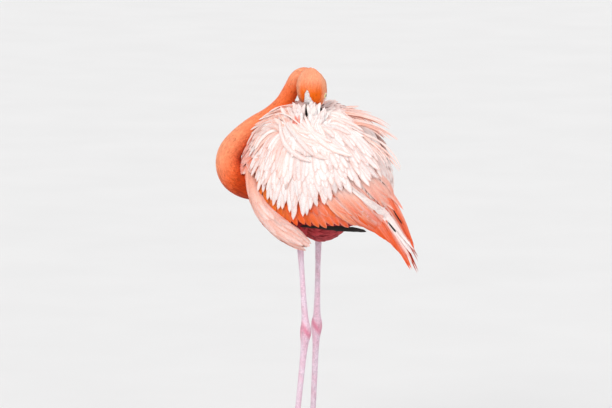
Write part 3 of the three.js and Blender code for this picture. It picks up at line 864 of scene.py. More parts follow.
@dataclass(frozen=True)
class WoodFinish:
    """Walnut, planed and oiled to a satin, with its grain along the plate and fine open pores.

    Its rings, cut at a low angle, show as bands `grain_mm` apart. The wave pattern repeats itself every
    twentieth of a whole turn.
    """

    name: str = "oiled_walnut"
    grain_mm: float = 13.85
    pore_mm: float = 1000 / 900
    dark: str = "#3B2417"
    pale: str = "#7A5233"

    def material(self) -> Material:
        """Makes the material.

        Returns:
            The material.
        """
        nodes = Nodes(self.name)
        place = nodes.add("ShaderNodeTexCoord").outputs["Object"]
        bend = nodes.add("ShaderNodeMapping", {"Vector": place, "Scale": (0.12, 1.0, 1.6)})
        warp = nodes.add("ShaderNodeTexNoise", {"Vector": bend.outputs[0], "Scale": 22.0, "Detail": 4.0})
        mixed = nodes.add("ShaderNodeMix", {"Factor": 0.05, 4: bend.outputs[0], 5: warp.outputs["Color"]},
                          data_type="VECTOR")
        rings = nodes.add("ShaderNodeTexWave", {"Vector": mixed.outputs[1],
                                                "Scale": 50 * TURN / self.grain_mm, "Distortion": 5.0,
                                                "Detail": 3.0, "Detail Scale": 2.0}, bands_direction="Y")
        along = nodes.add("ShaderNodeMapping", {"Vector": place, "Scale": (0.05, 1.0, 1.0)})
        pores = nodes.add("ShaderNodeTexNoise", {"Vector": along.outputs[0], "Scale": 1000 / self.pore_mm,
                                                 "Detail": 2.0}).outputs["Fac"]
        both = nodes.add("ShaderNodeMath", {0: rings.outputs["Fac"], 1: 0.7}, operation="MULTIPLY")
        total = nodes.add("ShaderNodeMath", {0: pores, 1: 0.45, 2: both.outputs[0]},
                          operation="MULTIPLY_ADD")
        wood = nodes.add("ShaderNodeValToRGB", {0: total.outputs[0]},
                         ((0.2, linear(self.dark)), (0.95, linear(self.pale))))
        bump = nodes.add("ShaderNodeBump", {"Strength": 0.12, "Distance": 0.0004, "Height": pores})
        return nodes.finish(wood.outputs[0], 0.42, Normal=bump.outputs[0], Coat_Weight=0.15,
                            Coat_Roughness=0.3)


# ---- colours


class Hue(Enum):
    """The bird's colours, as sRGB codes. A few of them carry painted light and shade, as their comments say.
    """

    NECK = "#FF6414"
    # painted highlight, for the lit upper side of the neck and the rims of the head
    NECK_HIGHLIGHT = "#FFB08A"
    # painted shade, for the neck's bend and underside
    NECK_SHADE = "#A42600"
    # a paler crown, as painted light from above
    CROWN = "#FFA27C"
    # the head's deeper orange, partly its own colour and partly painted shade on the lower head
    NAPE = "#FF6C00"
    BREAST = "#F4622E"
    # the belly's deep red, partly its own colour and partly painted shade under the body
    BELLY_AND_SHADE = "#B8363E"
    SALMON = "#FFA07E"
    PALE = "#FFEDE9"
    WHITE = "#FFFAFA"
    BLUSH = "#FFD6CE"
    COVERT = "#F25200"
    COVERT_EDGE = "#FF7A2C"
    AMBER = "#EE7C04"
    BLACK = "#16110F"
    SOOT = "#2A1D1A"
    LILAC = "#F3DFEE"
    ROSE = "#EE8FAE"
    MAGENTA = "#E2557F"
    LORES = "#F6D9D2"
    IVORY = "#F4E8DA"
    HORN_PINK = "#F2C3B4"
    IRIS = "#F3E29A"
    NAIL = "#3A2A28"

    def rgb(self) -> Array:
        """The linear colour."""
        return linear(self.value)


def between(first: Array, second: Array | Hue, share: Array | float) -> Array:
    """Mixes of rows of colours with others, or with one, by a share for all or for each row."""
    goal = second.rgb() if isinstance(second, Hue) else second
    return first + (goal - first) * np.asarray(share)[..., None]


def blend(first: Hue, second: Hue, share: Array | float) -> Array:
    """Mixes of two colours, a row for each share."""
    return between(first.rgb(), second, np.clip(share, 0, 1))


class Roots:
    """Places and colours of the roots of the coat, from which the skin takes its colour."""

    def __init__(self) -> None:
        """Starts empty."""
        self.places: list[Array] = []
        self.colours: list[Array] = []

    def note(self, places: Array, colours: Array) -> None:
        """Keeps roots and their colours."""
        self.places.append(places)
        self.colours.append(np.broadcast_to(colours, (len(places), 3)))

    def colour_near(self, points: Array, soften: int = 6) -> Array:
        """The mean colour of the roots nearest to each point."""
        places, colours = np.concatenate(self.places), np.concatenate(self.colours)
        tree = KDTree(len(places))
        for index, place in enumerate(places):
            tree.insert(place, index)
        tree.balance()
        near = [[hit[1] for hit in tree.find_n(point, soften)] for point in points]
        return colours[np.array(near)].mean(axis=1)


# ---- coats of the neck, head and body


@dataclass
class NeckCoat:
    """Velvet of short feathers that lie down the neck from the head to the breast."""

    length_mm: float = 12.0
    half_mm: float = 2.5
    row_mm: float = 3.9
    gap_mm: float = 3.6

    def colours(self, root: Array) -> Array:
        """Orange, with a painted highlight along the upper outer side and painted shade inside the bend and
        below it.
        """
        x, _, z = root.T
        # painted highlight: lighter along the upper outer side of the neck, where the light falls
        outer = np.maximum(smoothstep(z * 0.75 - x, 590, 700), smoothstep(z, 765, 825))
        # painted shade inside the bend of the neck
        inner = smoothstep(x - 0.45 * (z - 600), -184, -150) * smoothstep(-z, -705, -650)
        hue = blend(Hue.NECK, Hue.NECK_HIGHLIGHT, outer * 0.8)
        # painted shade, darker on the lower neck
        under = smoothstep(-z, -640, -585) * 0.5
        return between(hue, Hue.NECK_SHADE, np.maximum(inner * 0.8, under))

    def build(self, finish: Material, roots: Roots) -> Object:
        """Grows the coat.

        Args:
            finish: the material.
            roots: keeps the roots and their colours.

        Returns:
            The piece.
        """
        chance = np.random.default_rng([SEED, 1])
        coat = Plumage("neck_coat", SHORT, chance)
        a, b = NECK.roots(self.row_mm, self.gap_mm, chance, 0.02, 0.985)
        wide = NECK.frame(a)[3].mean(axis=1)
        size = self.length_mm * (0.75 + 0.35 * wide / 25) * (0.85 + 0.3 * chance.random(len(a)))
        keep = (NECK.at(a, b)[:, 0] < -80) | (a > 0.3)
        a, b, size, wide = a[keep], b[keep], size[keep], wide[keep]
        twist = 0.18 * chance.standard_normal(len(a))
        path, face = lay(NECK, a, b, -size / NECK.pace(a), size * twist / wide, SHORT, (-0.5, 0.35),
                         curl=0.2 * chance.random(len(a)))
        place = NECK.at(a, b)
        hue = self.colours(place) * (1 + 0.07 * chance.standard_normal((len(a), 1)))
        roots.note(place, hue)
        coat.grow(path, face, self.half_mm * (0.8 + 0.4 * wide / 25), NECK.unwrap(a, b),
                  (hue * 0.95, hue, np.clip(hue * 1.04 + 0.01, 0, 1), hue))
        return coat.piece(finish)


@dataclass
class HeadCoat:
    """Short smooth feathers of the head, which lie back from the bill and leave lores and lids bare."""

    length_mm: float = 7.0
    half_mm: float = 1.9
    tongue: Rows = ((-6, 0), (3, 3.8), (14, 5.4), (23, 8.5), (30, 13), (36, 20))
    tongue_out: float = 4.5
    lids: float = 6.2

    def bare(self, ahead: Array, up: Array, out: Array) -> Array:
        """How bare of feathers the head is at places of it, from 0 to 1.

        Args:
            ahead: how far forward they are, from the head's middle.
            up: how far up.
            out: how far out to the left.

        Returns:
            A share for each place.
        """
        places, halves = np.array(self.tongue).T
        tongue = np.abs(out - self.tongue_out) < np.interp(ahead, places, halves) + 1.4
        tongue &= (up > 8) & (ahead > -6)
        eye = np.hypot(ahead - EYE.ahead, up - EYE.up)
        ring = (eye < self.lids) & (np.abs(out) > 12)
        share = np.clip((ahead - EYE.ahead) / 20, 0, 1)
        lores = (ahead > EYE.ahead) & (np.abs(out) > 9)
        lores &= np.abs(up - EYE.up + 6 * share) < 4 + 9 * share
        return (tongue | ring | lores | (ahead > 36)).astype(float)

    def build(self, finish: Material, roots: Roots) -> Object:
        """Grows the coat.

        Args:
            finish: the material.
            roots: keeps the roots and their colours.

        Returns:
            The piece.
        """
        chance = np.random.default_rng([SEED, 2])
        coat = Plumage("head_coat", SHORT, chance)
        a, b = SKULL.roots(2.7, 2.7, chance, 0.1, 0.97)
        ahead, up, out = HEAD.coordinates(SKULL.at(a, b))
        size = self.length_mm * (0.85 + 0.3 * chance.random(len(a)))
        size *= np.interp(ahead, (-40, 0, 36), (1.25, 1.0, 0.7))
        reach = HEAD.coordinates(lay(SKULL, a, b, -size / SKULL.pace(a), 0 * size, SHORT, (0, 0))[0][:, -1])
        keep = (self.bare(ahead, up, out) < 0.5) & (self.bare(*reach) < 0.5)
        a, b, size, ahead, up, out = (v[keep] for v in (a, b, size, ahead, up, out))
        twist = 0.12 * chance.standard_normal(len(a))
        path, face = lay(SKULL, a, b, -size / SKULL.pace(a), size * twist / 26, SHORT, (-0.3, 0.7))
        place = SKULL.at(a, b)
        # a paler crown as painted light from above, deeper orange further down, partly the head's own colour
        # and partly painted shade
        hue = blend(Hue.CROWN, Hue.NAPE, smoothstep(ahead, -22, 8))
        # painted highlight along the rims of the head
        rim = np.maximum(smoothstep(out, 15, 26) * smoothstep(-up, -16, -4), smoothstep(-out, 6, 19))
        hue = between(hue, Hue.NECK_HIGHLIGHT, rim * 0.8)
        hue = hue * (1 + 0.06 * chance.standard_normal((len(a), 1)))
        roots.note(place, hue)
        half = self.half_mm * np.interp(ahead, (-40, 0, 36), (1.1, 1.0, 0.75))
        coat.grow(path, face, half, SKULL.unwrap(a, b),
                  (hue * 0.95, hue, np.clip(hue * 1.04 + 0.01, 0, 1), hue))
        return coat.piece(finish)


@dataclass
class BodyCoat:
    """Feathers of the breast, belly, rump and thighs, which lie towards the tail and down the legs."""

    row_mm: float = 9.5
    gap_mm: float = 8.0

    def build(self, finish: Material, roots: Roots) -> Object:
        """Grows the coat.

        Args:
            finish: the material.
            roots: keeps the roots and their colours.

        Returns:
            The piece.
        """
        chance = np.random.default_rng([SEED, 3])
        coat = Plumage("body_coat", BODY, chance)
        a, b = TRUNK.roots(self.row_mm, self.gap_mm, chance, 0.02, 0.99)
        place = TRUNK.at(a, b)
        hidden = ((place - (COAT.x, 0, COAT.z)) / (COAT.long, COAT.wide, COAT.high)) ** 2
        keep = (hidden.sum(axis=1) > 0.86) | (place[:, 2] < 536) | (place[:, 0] < -92)
        a, b, place = a[keep], b[keep], place[keep]
        smaller = np.interp(place[:, 0], (-140, -90, 40), (0.6, 0.85, 1.1))
        size = (20 + 6 * chance.random(len(a))) * smaller
        twist = 0.15 * chance.standard_normal(len(a))
        wide = TRUNK.frame(a)[3].mean(axis=1)
        path, face = lay(TRUNK, a, b, np.minimum(size / TRUNK.pace(a), 0.999 - a), size * twist / wide,
                         BODY, (-1.5, 2.0), curl=1.5 * chance.random(len(a)))
        # the rear of the breast and the belly go deep red, partly their own colour and partly painted shade
        # under the body
        hue = blend(Hue.BREAST, Hue.BELLY_AND_SHADE, smoothstep(place[:, 0], -90, -10))
        rear = smoothstep(place[:, 2], 560, 640) * smoothstep(place[:, 0], 60, 110)
        hue = between(hue, Hue.SALMON, rear)
        hue = hue * (1 + 0.08 * chance.standard_normal((len(a), 1)))
        roots.note(place, hue)
        coat.grow(path, face, 5.2 * smaller, TRUNK.unwrap(a, b),
                  (hue * 0.8, hue, np.clip(hue * 1.15 + 0.03, 0, 1), hue))
        for leg in LEGS.values():
            thigh = leg.loft(THIGH)
            a, b = thigh.roots(5.0, 4.6, chance, 0.02, 0.93)
            place = thigh.at(a, b)
            size = np.interp(a, (0, 1), (17, 10)) * (0.85 + 0.3 * chance.random(len(a)))
            path, face = lay(thigh, a, b, np.minimum(size / thigh.pace(a), 1.0 - a), 0 * a, BODY,
                             (-1.2, 1.5), curl=0.8 * chance.random(len(a)))
            # the thighs take the same deep red, with its painted shade
            hue = Hue.BELLY_AND_SHADE.rgb() * (1 + 0.09 * chance.standard_normal((len(a), 1)))
            roots.note(place, hue)
            coat.grow(path, face, np.interp(a, (0, 1), (4.2, 2.4)), thigh.unwrap(a, b) * 0.2 + 0.02,
                      (hue * 0.8, hue, np.clip(hue * 1.15 + 0.03, 0, 1), hue))
        return coat.piece(finish)


# ---- back, wings and tail


@dataclass
class MantleCoat:
    """Lifted feathers of the back, which stand round the place where the bill goes in.

    `entry` is that place, along and round the coat, and `wedge` the X of the gap in the tufts that shows
    the bill, `wedge_half` wide on each side. `rear` holds heights with the X that feathers may reach
    behind, and `front` is the room before the coat, wider by `neck_room` near the height `neck_z`.
    `squeeze` is the share that is kept of what goes further, behind and in front.
    """

    entry: tuple[float, float] = (1.0, -46.0)
    gap_mm: float = 9.0
    wedge: float = -4.0
    wedge_half: float = 7.6
    rear: Rows = (
        (585, 142), (609, 140), (633, 130), (650, 117), (684, 104), (718, 76), (744, 40),
    )
    front: float = 4.0
    neck_room: float = 12.0
    neck_z: float = 652.0
    squeeze: tuple[float, float] = (0.06, 0.35)

    def build(self, finish: Material, roots: Roots) -> Object:
        """Grows the coat.

        Args:
            finish: the material.
            roots: keeps the roots and their colours.

        Returns:
            The piece.
        """
        chance = np.random.default_rng([SEED, 4])
        coat = Plumage("mantle_coat", BODY, chance)
        surface = CoatRound(2.0)
        grid = np.meshgrid(np.arange(-122, 128, self.gap_mm), np.arange(-165, 166, self.gap_mm * 0.9))
        x, s = grid[0].ravel(), grid[1].ravel()
        x = x + self.gap_mm * (0.5 * (np.arange(len(x)) % 2) + 0.6 * (chance.random(len(x)) - 0.5))
        s = s + self.gap_mm * 0.6 * (chance.random(len(s)) - 0.5)
        away_x, away_s = x - self.entry[0], s - self.entry[1]
        far = np.hypot(away_x, away_s)
        place = surface.at(x, s)
        before = (np.abs(x - self.wedge + 6) < 9) & (s > -110) & (s < -46)
        keep = (far > 16) & ~before & (np.abs(x - COAT.x) < 138)
        keep &= place[:, 2] > 640 - 14 * chance.random(len(x))
        x, s, away_x, away_s, far, place = (v[keep] for v in (x, s, away_x, away_s, far, place))
        near = np.exp(-((far / 70) ** 2))
        way = np.stack([away_x / far * (0.35 + near) + 0.9 * (1 - near) * np.where(x < -55, -0.1, 1),
                        away_s / far * (0.5 + near) + 0.25 * np.sign(s)], -1)
        way = unit(way + 0.16 * chance.standard_normal(way.shape))
        size = (22 + 16 * (1 - near)) * (0.85 + 0.3 * chance.random(len(x)))
        curl = 5.0 * near + 3 * chance.random(len(x))
        path, face = lay(surface, x, s, way[:, 0] * size, way[:, 1] * size, BODY, (-2.0, 2.5), curl=curl,
                         bow=0.15 * chance.standard_normal(len(x)))
        self.hold(path)
        pale = smoothstep(x + 26 * chance.standard_normal(len(x)), -90, 40)
        hue = blend(Hue.SALMON, Hue.BLUSH, pale)
        hue = between(hue, Hue.COVERT, 0.6 * smoothstep(-x, 66, 110))
        hue = between(hue, Hue.WHITE, np.exp(-((far / 38) ** 2)))
        tip = between(hue, Hue.PALE, 0.5 + 0.5 * chance.random(len(x)))
        roots.note(place, hue)
        coat.grow(path, face, 4.4 + 1.6 * (1 - near), surface.unwrap(x, s),
                  (hue * 0.95, hue, tip, between(hue, Hue.PALE, 0.4)))
        self.rump(coat, roots)
        self.ruff(coat)
        return coat.piece(finish)

    def hold(self, path: Array) -> None:
        """Keeps ribs from going far out behind or in front of the coat."""
        x, y, z = np.moveaxis(path, -1, 0)
        limit = np.interp(z, *np.array(self.rear).T)
        x[...] = np.where(x > limit, limit + self.squeeze[0] * (x - limit), x)
        inside = 1 - (y / COAT.wide) ** 2 - ((z - COAT.z) / COAT.high) ** 2
        front = COAT.x - COAT.long * np.sqrt(np.maximum(inside, 0)) - self.front
        front = front - self.neck_room * np.exp(-(((z - self.neck_z) / 16) ** 2))
        x[...] = np.where((x < front) & (x < -60), front + self.squeeze[1] * (x - front), x)

    def ruff(self, coat: Plumage) -> None:
        """Adds the white tufts that stand up round the bill and leave a narrow wedge of it showing.

        Args:
            coat: the plumage that takes them.
        """
        chance = coat.chance
        for row in range(6):
            x = np.concatenate([np.linspace(-64, self.wedge - self.wedge_half, 12),
                                np.linspace(self.wedge + self.wedge_half, 38, 10)])
            count = len(x)
            off = x - self.wedge
            beside = np.abs(off) < 9
            near = np.abs(off) < 22
            stray = chance.standard_normal(count)
            x = x + np.where(beside, 0.0, np.where(near, 2.5 * np.sign(off) * np.abs(stray), 4.0 * stray))
            top = 757 - np.where(off < 0, 0.006, 0.009) * off**2 - 6.5 * row
            top = top + 3.2 * chance.standard_normal(count)
            long = 30 + 12 * chance.random(count)
            lean = np.radians(np.clip(0.95 * off, -58, 48) + 7 * chance.standard_normal(count))
            lean = np.where(beside, -0.08 * np.sign(off), np.where(near, np.sign(off) * np.abs(lean), lean))
            tip_x = x - np.where(beside & (row < 2), 0.72 * off, 0.0)
            tip = np.stack([tip_x, -73.0 - 1.4 * row + 0.003 * off**2, top], -1)
            root = np.stack([x - np.sin(lean) * long, -66.0 - 1.6 * row + 0 * x,
                             top - np.cos(lean) * long], -1)
            arch = np.stack([np.where(beside, 2.2 * np.sign(off), 0), -4.0 + 0 * x, 0 * x], -1)
            path = bent(root, (root + tip) / 2 + arch, tip, BODY)
            face = np.broadcast_to(np.array([0.0, -0.95, 0.3]), path.shape)
            warm = smoothstep(-off, 10, 50) * chance.random(count)
            hue = between(blend(Hue.WHITE, Hue.PALE, chance.random(count)), Hue.SALMON, warm * 0.7)
            flame = (off < -8) & (off > -27) & (row > 3)
            hue = between(hue, Hue.COVERT, flame * np.clip(0.35 + 0.4 * np.abs(stray), 0, 0.8))
            coat.grow(path, face, 3.6 + 1.4 * chance.random(count),
                      np.stack([0.95 + 0 * x, 0.42 + 0.001 * x], -1),
                      (hue, hue, hue, between(hue, Hue.BLUSH, 0.5)))

    def rump(self, coat: Plumage, roots: Roots) -> None:
        """Adds the feathers down the rear of the back, between the two fans.

        Args:
            coat: the plumage that takes them.
            roots: keeps the roots and their colours.
        """
        chance = coat.chance
        along = BODY.along()[None, :]
        y, z = np.meshgrid(np.arange(-84, 85, 8.0), np.arange(548, 752, 9.0))
        y, z = y.ravel() + 3 * chance.standard_normal(y.size), z.ravel() + 3 * chance.standard_normal(z.size)
        size = 34 * (0.85 + 0.3 * chance.random(len(y)))
        at_y = y[:, None] * (1 + 0.06 * along) + 3 * along * chance.standard_normal((len(y), 1))
        at_z = z[:, None] - size[:, None] * along
        round_x = 1 - (at_y / COAT.wide) ** 2 - ((at_z - COAT.z) / COAT.high) ** 2
        behind = round_x.min(axis=1) > 0.36
        at_x = COAT.x + COAT.long * np.sqrt(np.maximum(round_x, 0.02))
        at_x = np.minimum(at_x, np.interp(at_z, *np.array(self.rear).T)) + 0.5 + 4.5 * along
        path = np.stack([at_x, at_y, at_z], -1)[behind]
        y, z = y[behind], z[behind]
        away = path - np.array([COAT.x - 40.0, 0.0, COAT.z])
        face = unit(away * np.array([1.0, 0.8, 1.0]))
        hue = blend(Hue.BLUSH, Hue.PALE, chance.random(len(y)))
        hue = between(hue, Hue.SALMON, 0.8 * smoothstep(-z, -640, -570) * chance.random(len(y)))
        roots.note(path[:, 0], hue)
        coat.grow(path, face, 5.4 + 0.8 * chance.random(len(y)),
                  np.stack([0.3 + 0.001 * y, 0.001 * z], -1),
                  (hue * 0.95, hue, between(hue, Hue.WHITE, 0.3),
                   between(hue, Hue.PALE, 0.4)))


@dataclass
class ScapularFan:
    """One side's fan of long back feathers, which shorten towards the top of the pile.

    `turns` and `lengths` give how far the fan reaches from `middle` in each direction, in degrees from +X
    over +Z. The `outer` feathers lie at its edge in order and the others fill it. `sweeps` are strands
    over the fan: their first and last root, their first and last tip, the arch, the count, the share of
    salmon and the height over the coat.
    """

    side: Side
    turns: tuple[float, ...] = (205, 213, 222, 233, 244, 255, 267, 279, 291, 304, 316, 327, 333, 339, 344)
    lengths: tuple[float, ...] = (112, 124, 136, 148, 154, 162, 170, 160, 146, 144, 160, 172, 158, 134, 106)
    sweeps: tuple[tuple[object, ...], ...] = (
        (((-14, 712), (22, 694)), ((66, 716), (138, 604)), -0.16, 34, 0.25, 5.0),
        (((-14, 728), (-38, 700)), ((-76, 724), (-120, 632)), 0.16, 40, 0.75, 5.0),
        (((-30, 716), (24, 708)), ((-46, 640), (52, 636)), 0.0, 46, 0.2, 8.0),
        (((-58, 716), (-14, 722)), ((16, 634), (84, 652)), 0.1, 22, 0.25, 10.0),
    )
    count: int = 150
    outer: int = 34
    middle: tuple[float, float] = (-10, 702)
    root: tuple[float, float] = (35, 9)

    def build(self, finish: Material, roots: Roots) -> Object:
        """Grows the fan, the longest and lowest feathers first.

        Args:
            finish: the material.
            roots: keeps the roots and their colours.

        Returns:
            The piece.
        """
        chance = np.random.default_rng([SEED, 5, self.side + 1])
        name = f"scapulars_{self.side.label}"
        coat = Plumage(f"{name}_feathers", LONG, chance)
        surface = CoatSide(self.side)
        order = np.linspace(0, 1, self.count)
        number = np.arange(self.count)
        edge = number < self.outer
        turn = 207 + 136 * np.where(edge, number / self.outer, spread(self.count))
        turn = turn + 1.2 * chance.standard_normal(self.count)
        share = np.where(edge, 1.0, 0.98 - 0.42 * order**1.2)
        share = share * (0.94 + 0.09 * chance.random(self.count))
        long = np.interp(turn, self.turns, self.lengths) * share * (1.0 if self.side == Side.LEFT else 0.93)
        angle = np.radians(turn)
        way = np.stack([np.cos(angle), np.sin(angle)], -1)
        start = np.array(self.middle) + way * np.array(self.root) * (0.25 + 0.75 * share[:, None])
        end = np.array(self.middle) + way * long[:, None]
        run = end - start
        rear = 7 * smoothstep(turn, 280, 325) * share
        bow = np.interp(turn, (207, 268, 343), (0.13, 0.0, -0.15))
        bow = bow + 0.03 * chance.standard_normal(self.count)
        path, face = lay(surface, start[:, 0], start[:, 1], run[:, 0], run[:, 1], LONG, (4.0, 4.6),
                         curl=rear + 1.2 * chance.random(self.count), bow=bow)
        path = path + face * (4.2 * order)[:, None, None]
        flush = 1 - smoothstep(turn + 12 * chance.standard_normal(self.count), 220, 285)
        tint = chance.random(self.count)
        hue = blend(Hue.WHITE, Hue.BLUSH, 0.05 + (0.35 + 0.6 * flush) * tint)
        rim = blend(Hue.BLUSH, Hue.SALMON, 0.25 + 0.75 * flush * tint)
        roots.note(path[:, 6], hue)
        half = np.interp(turn, (207, 250, 300, 343), (5.0, 7.2, 8.6, 6.2)) * (0.72 + 0.28 * share)
        coat.grow(path, face, half, surface.unwrap(start[:, 0], start[:, 1]),
                  (between(hue, Hue.BLUSH, 0.3), hue, between(hue, Hue.WHITE, 0.4), rim))
        for sweep in self.sweeps:
            self.sweep(coat, surface, *sweep)
        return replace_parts(coat.piece(finish), name)

    def sweep(self, coat: Plumage, surface: Surface, roots: Sequence[Sequence[float]],
              tips: Sequence[Sequence[float]], bow: float, count: int, flush: float, lift: float) -> None:
        """Adds strands that sweep from between two roots to between two tips, over the rim of the back.

        Args:
            coat: the plumage they join.
            surface: what they lie on.
            roots: the first and the last root, as x and z.
            tips: the first and the last tip.
            bow: how much they arch.
            count: how many there are.
            flush: how much salmon they carry.
            lift: how far above the surface they lie, in millimetres.
        """
        chance, t = coat.chance, spread(count)
        start = np.array(roots[0]) + (np.array(roots[1]) - roots[0]) * t[:, None]
        start = start + 3 * chance.standard_normal((count, 2))
        end = np.array(tips[0]) + (np.array(tips[1]) - tips[0]) * t[:, None]
        bulge = np.array([math.copysign(16, tips[1][0]), 14]) * np.sin(math.pi * t)[:, None]
        uneven = 0.3 if lift < 6 else 0.55
        run = (end + bulge - start) * (1.02 - uneven * chance.random((count, 1)))
        order = np.linspace(0, 1, count)
        path, face = lay(surface, start[:, 0], start[:, 1], run[:, 0], run[:, 1], LONG, (lift, lift),
                         curl=3.0 * chance.random(count), bow=bow + 0.04 * chance.standard_normal(count))
        path = path + face * (3.5 * order)[:, None, None]
        hue = blend(Hue.WHITE, Hue.SALMON, flush * chance.random(count))
        coat.grow(path, face, 4.6 + 1.4 * chance.random(count), surface.unwrap(start[:, 0], start[:, 1]),
                  (hue, hue, between(hue, Hue.PALE, 0.5),
                   between(hue, Hue.SALMON, 0.3 + 0.3 * order)))


@dataclass
class WingCoverts:
    """Rows of overlapping coverts over a folded wing, ending in a pointed lower edge."""

    side: Side
    rows: int = 7

    def build(self, finish: Material, roots: Roots) -> Object:
        """Grows the rows from the lowest up.

        Args:
            finish: the material.
            roots: keeps the roots and their colours.

        Returns:
            The piece.
        """
        chance = np.random.default_rng([SEED, 6, self.side + 1])
        coat = Plumage(f"coverts_{self.side.label}_feathers", BROAD, chance)
        surface = CoatSide(self.side)
        for row in range(self.rows):
            up = row / (self.rows - 1)
            count = 17 - row
            t = (np.arange(count) + 0.5 * (row % 2)) / count
            low = np.interp(t, (0, 0.15, 0.4, 0.7, 1), (556, 526, 517, 516, 511))
            x = -108 + 20 * up + t * (218 - 20 * up)
            tip_z = low + up * 112 + 3 * chance.standard_normal(count)
            size = (56 - 12 * up) * (0.9 + 0.2 * chance.random(count))
            size = size * np.interp(t, (0, 0.2, 1), (0.7, 0.9, 1.05))
            slant = np.interp(t, (0, 0.3, 0.7, 1), (0.2, 0.4, 0.6, 1.0))
            slant = slant + 0.06 * chance.standard_normal(count)
            dx, dz = np.sin(slant) * size, -np.cos(slant) * size
            path, face = lay(surface, x - dx * 0.4, tip_z - dz, dx, dz, BROAD, (-3.0, 0.3 + 0.6 * up),
                             curl=1.2)
            fade = smoothstep(t + 0.25 * up + 0.08 * chance.standard_normal(count), 0.4, 1.0)
            hue = between(blend(Hue.COVERT, Hue.COVERT_EDGE, 0.5 * chance.random(count)), Hue.AMBER,
                          smoothstep(0.4 - t, 0, 0.3) * 0.7)
            pale = between(hue, Hue.PALE, 0.15 + 0.65 * fade)
            roots.note(path[:, 1], hue)
            coat.grow(path, face, 8.0 - 1.2 * up, surface.unwrap(x, tip_z - dz),
                      (pale, between(pale, hue, 0.8 - 0.4 * fade * up), between(hue, pale, 0.4 * up),
                       between(hue, Hue.PALE, 0.1 + 0.4 * fade)))
        return coat.piece(finish)


@dataclass
class Tertials:
    """The drooping feathers over one side of the tail, with their long pale stripe.

    `rows` holds, from the lowest up, the X and Z of the root and of the tip, the height over the coat,
    and how far the rib bends out in X and Z. `upper` is how many shorter feathers cover the roots, and
    `reach` how far back those go on the left and on the right.
    """

    side: Side
    rows: Rows = (
        (70, 566, 119, 503, 3, 0, 0), (78, 572, 141, 488, 3, 0, 0), (86, 579, 158, 478, 4, 0, 0),
        (93, 588, 175, 456, 5, 0, 0), (98, 598, 189, 431, 6, 9, 7), (84, 596, 192, 474, 7, 8, 6),
        (112, 632, 197, 468, 8, 28, 18),
    )
    count: int = 62
    upper: int = 34
    reach: tuple[float, float] = (0.88, 0.56)

    def build(self, finish: Material, roots: Roots) -> Object:
        """Grows the feathers, from the lowest row to the stripe on top.

        Args:
            finish: the material.
            roots: keeps the roots and their colours.

        Returns:
            The piece.
        """
        chance = np.random.default_rng([SEED, 7, self.side + 1])
        name = f"tertials_{self.side.label}"
        coat = Plumage(f"{name}_feathers", BROAD, chance)
        surface = CoatSide(self.side)
        table = np.array(self.rows, dtype=float)
        place = np.linspace(0, len(table) - 1, self.count)
        row = np.stack([np.interp(place, np.arange(len(table)), column) for column in table.T], -1)
        far = smoothstep(-row[:, 3], -450, -435) * (16.0 if self.side == Side.RIGHT else 0.0)
        start = row[:, :2] + 6 * chance.standard_normal((self.count, 2)).clip(-1.5, 1.5)
        start = start - np.array([12, -8])
        end = row[:, 2:4] + np.stack([far / 8, -far], -1)
        shorter = 0.25 * chance.random(self.count) * (np.arange(self.count) % 3 > 0)
        end = end - (end - start) * shorter[:, None]
        outer = (place > 4.6) & (self.side == Side.RIGHT)
        end = end - np.where(outer, 12.0, 0.0)[:, None] * np.array([1, 0])
        control = (start + end) / 2 + row[:, 5:] * np.where(outer, 0.35, 1.0)[:, None]
        flat = bent(start, control, end, BROAD)
        out = surface.normal(flat[..., 0], flat[..., 1])
        rise = row[:, 4:5] - 2 + 5 * BROAD.along()[None] + 1.2 * chance.random((self.count, 1))
        rise = rise - np.where(place > 5.2, 5.0, 0.0)[:, None]
        path = surface.at(flat[..., 0], flat[..., 1]) + out * rise[..., None]
        stripe = smoothstep(place, 4.1, 4.7) * (1 - smoothstep(place, 5.1, 5.5))
        warm = chance.random(self.count)
        root = blend(Hue.BLUSH, Hue.PALE, 0.4 + 0.6 * stripe)
        hue = between(blend(Hue.SALMON, Hue.COVERT, warm), Hue.PALE,
                      np.maximum(0.5 * chance.random(self.count), 0.95 * stripe))
        tip = between(blend(Hue.COVERT, Hue.COVERT_EDGE, 0.2 * warm), Hue.WHITE, 0.95 * stripe)
        roots.note(path[:, 1], hue)
        half = 4.8 + 1.4 * warm - np.where(place > 5.2, 1.2, 0.0)
        self.cover(coat, surface, roots)
        coat.grow(path, out, half, surface.unwrap(start[:, 0], start[:, 1]),
                  (root, hue, tip, between(tip, Hue.SALMON, 0.15)))
        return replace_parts(coat.piece(finish), name)

    def cover(self, coat: Plumage, surface: Surface, roots: Roots) -> None:
        """Adds the shorter feathers that come out below the fan and lie over the roots of the long ones.

        Args:
            coat: the plumage that takes them.
            surface: what they lie on.
            roots: keeps the roots and their colours.
        """
        chance, count = coat.chance, self.upper
        u = 0.12 + self.reach[self.side > 0] * spread(count)
        x = 14 + 96 * u + 5 * chance.standard_normal(count)
        z = 590 + 48 * u + 5 * chance.standard_normal(count)
        size = 0.8 + 0.35 * chance.random(count)
        curl = 1.5 * chance.random(count)
        path, face = lay(surface, x, z, (54 + 4 * u) * size, (-66 - 12 * u) * size, BROAD, (2.5, 5.5),
                         curl=curl, bow=0.06 * chance.standard_normal(count) - 0.05 * u)
        warm = chance.random(count)
        hue = between(blend(Hue.SALMON, Hue.COVERT_EDGE, 0.7 * warm), Hue.PALE, 0.2 + 0.3 * u)
        tip = between(blend(Hue.COVERT_EDGE, Hue.COVERT, warm), Hue.PALE, 0.25 * u)
        roots.note(path[:, 1], hue)
        coat.grow(path, face, 5.0 + 1.2 * warm, surface.unwrap(x, z),
                  (blend(Hue.WHITE, Hue.PALE, warm), hue, tip, between(hue, Hue.PALE, 0.3)))


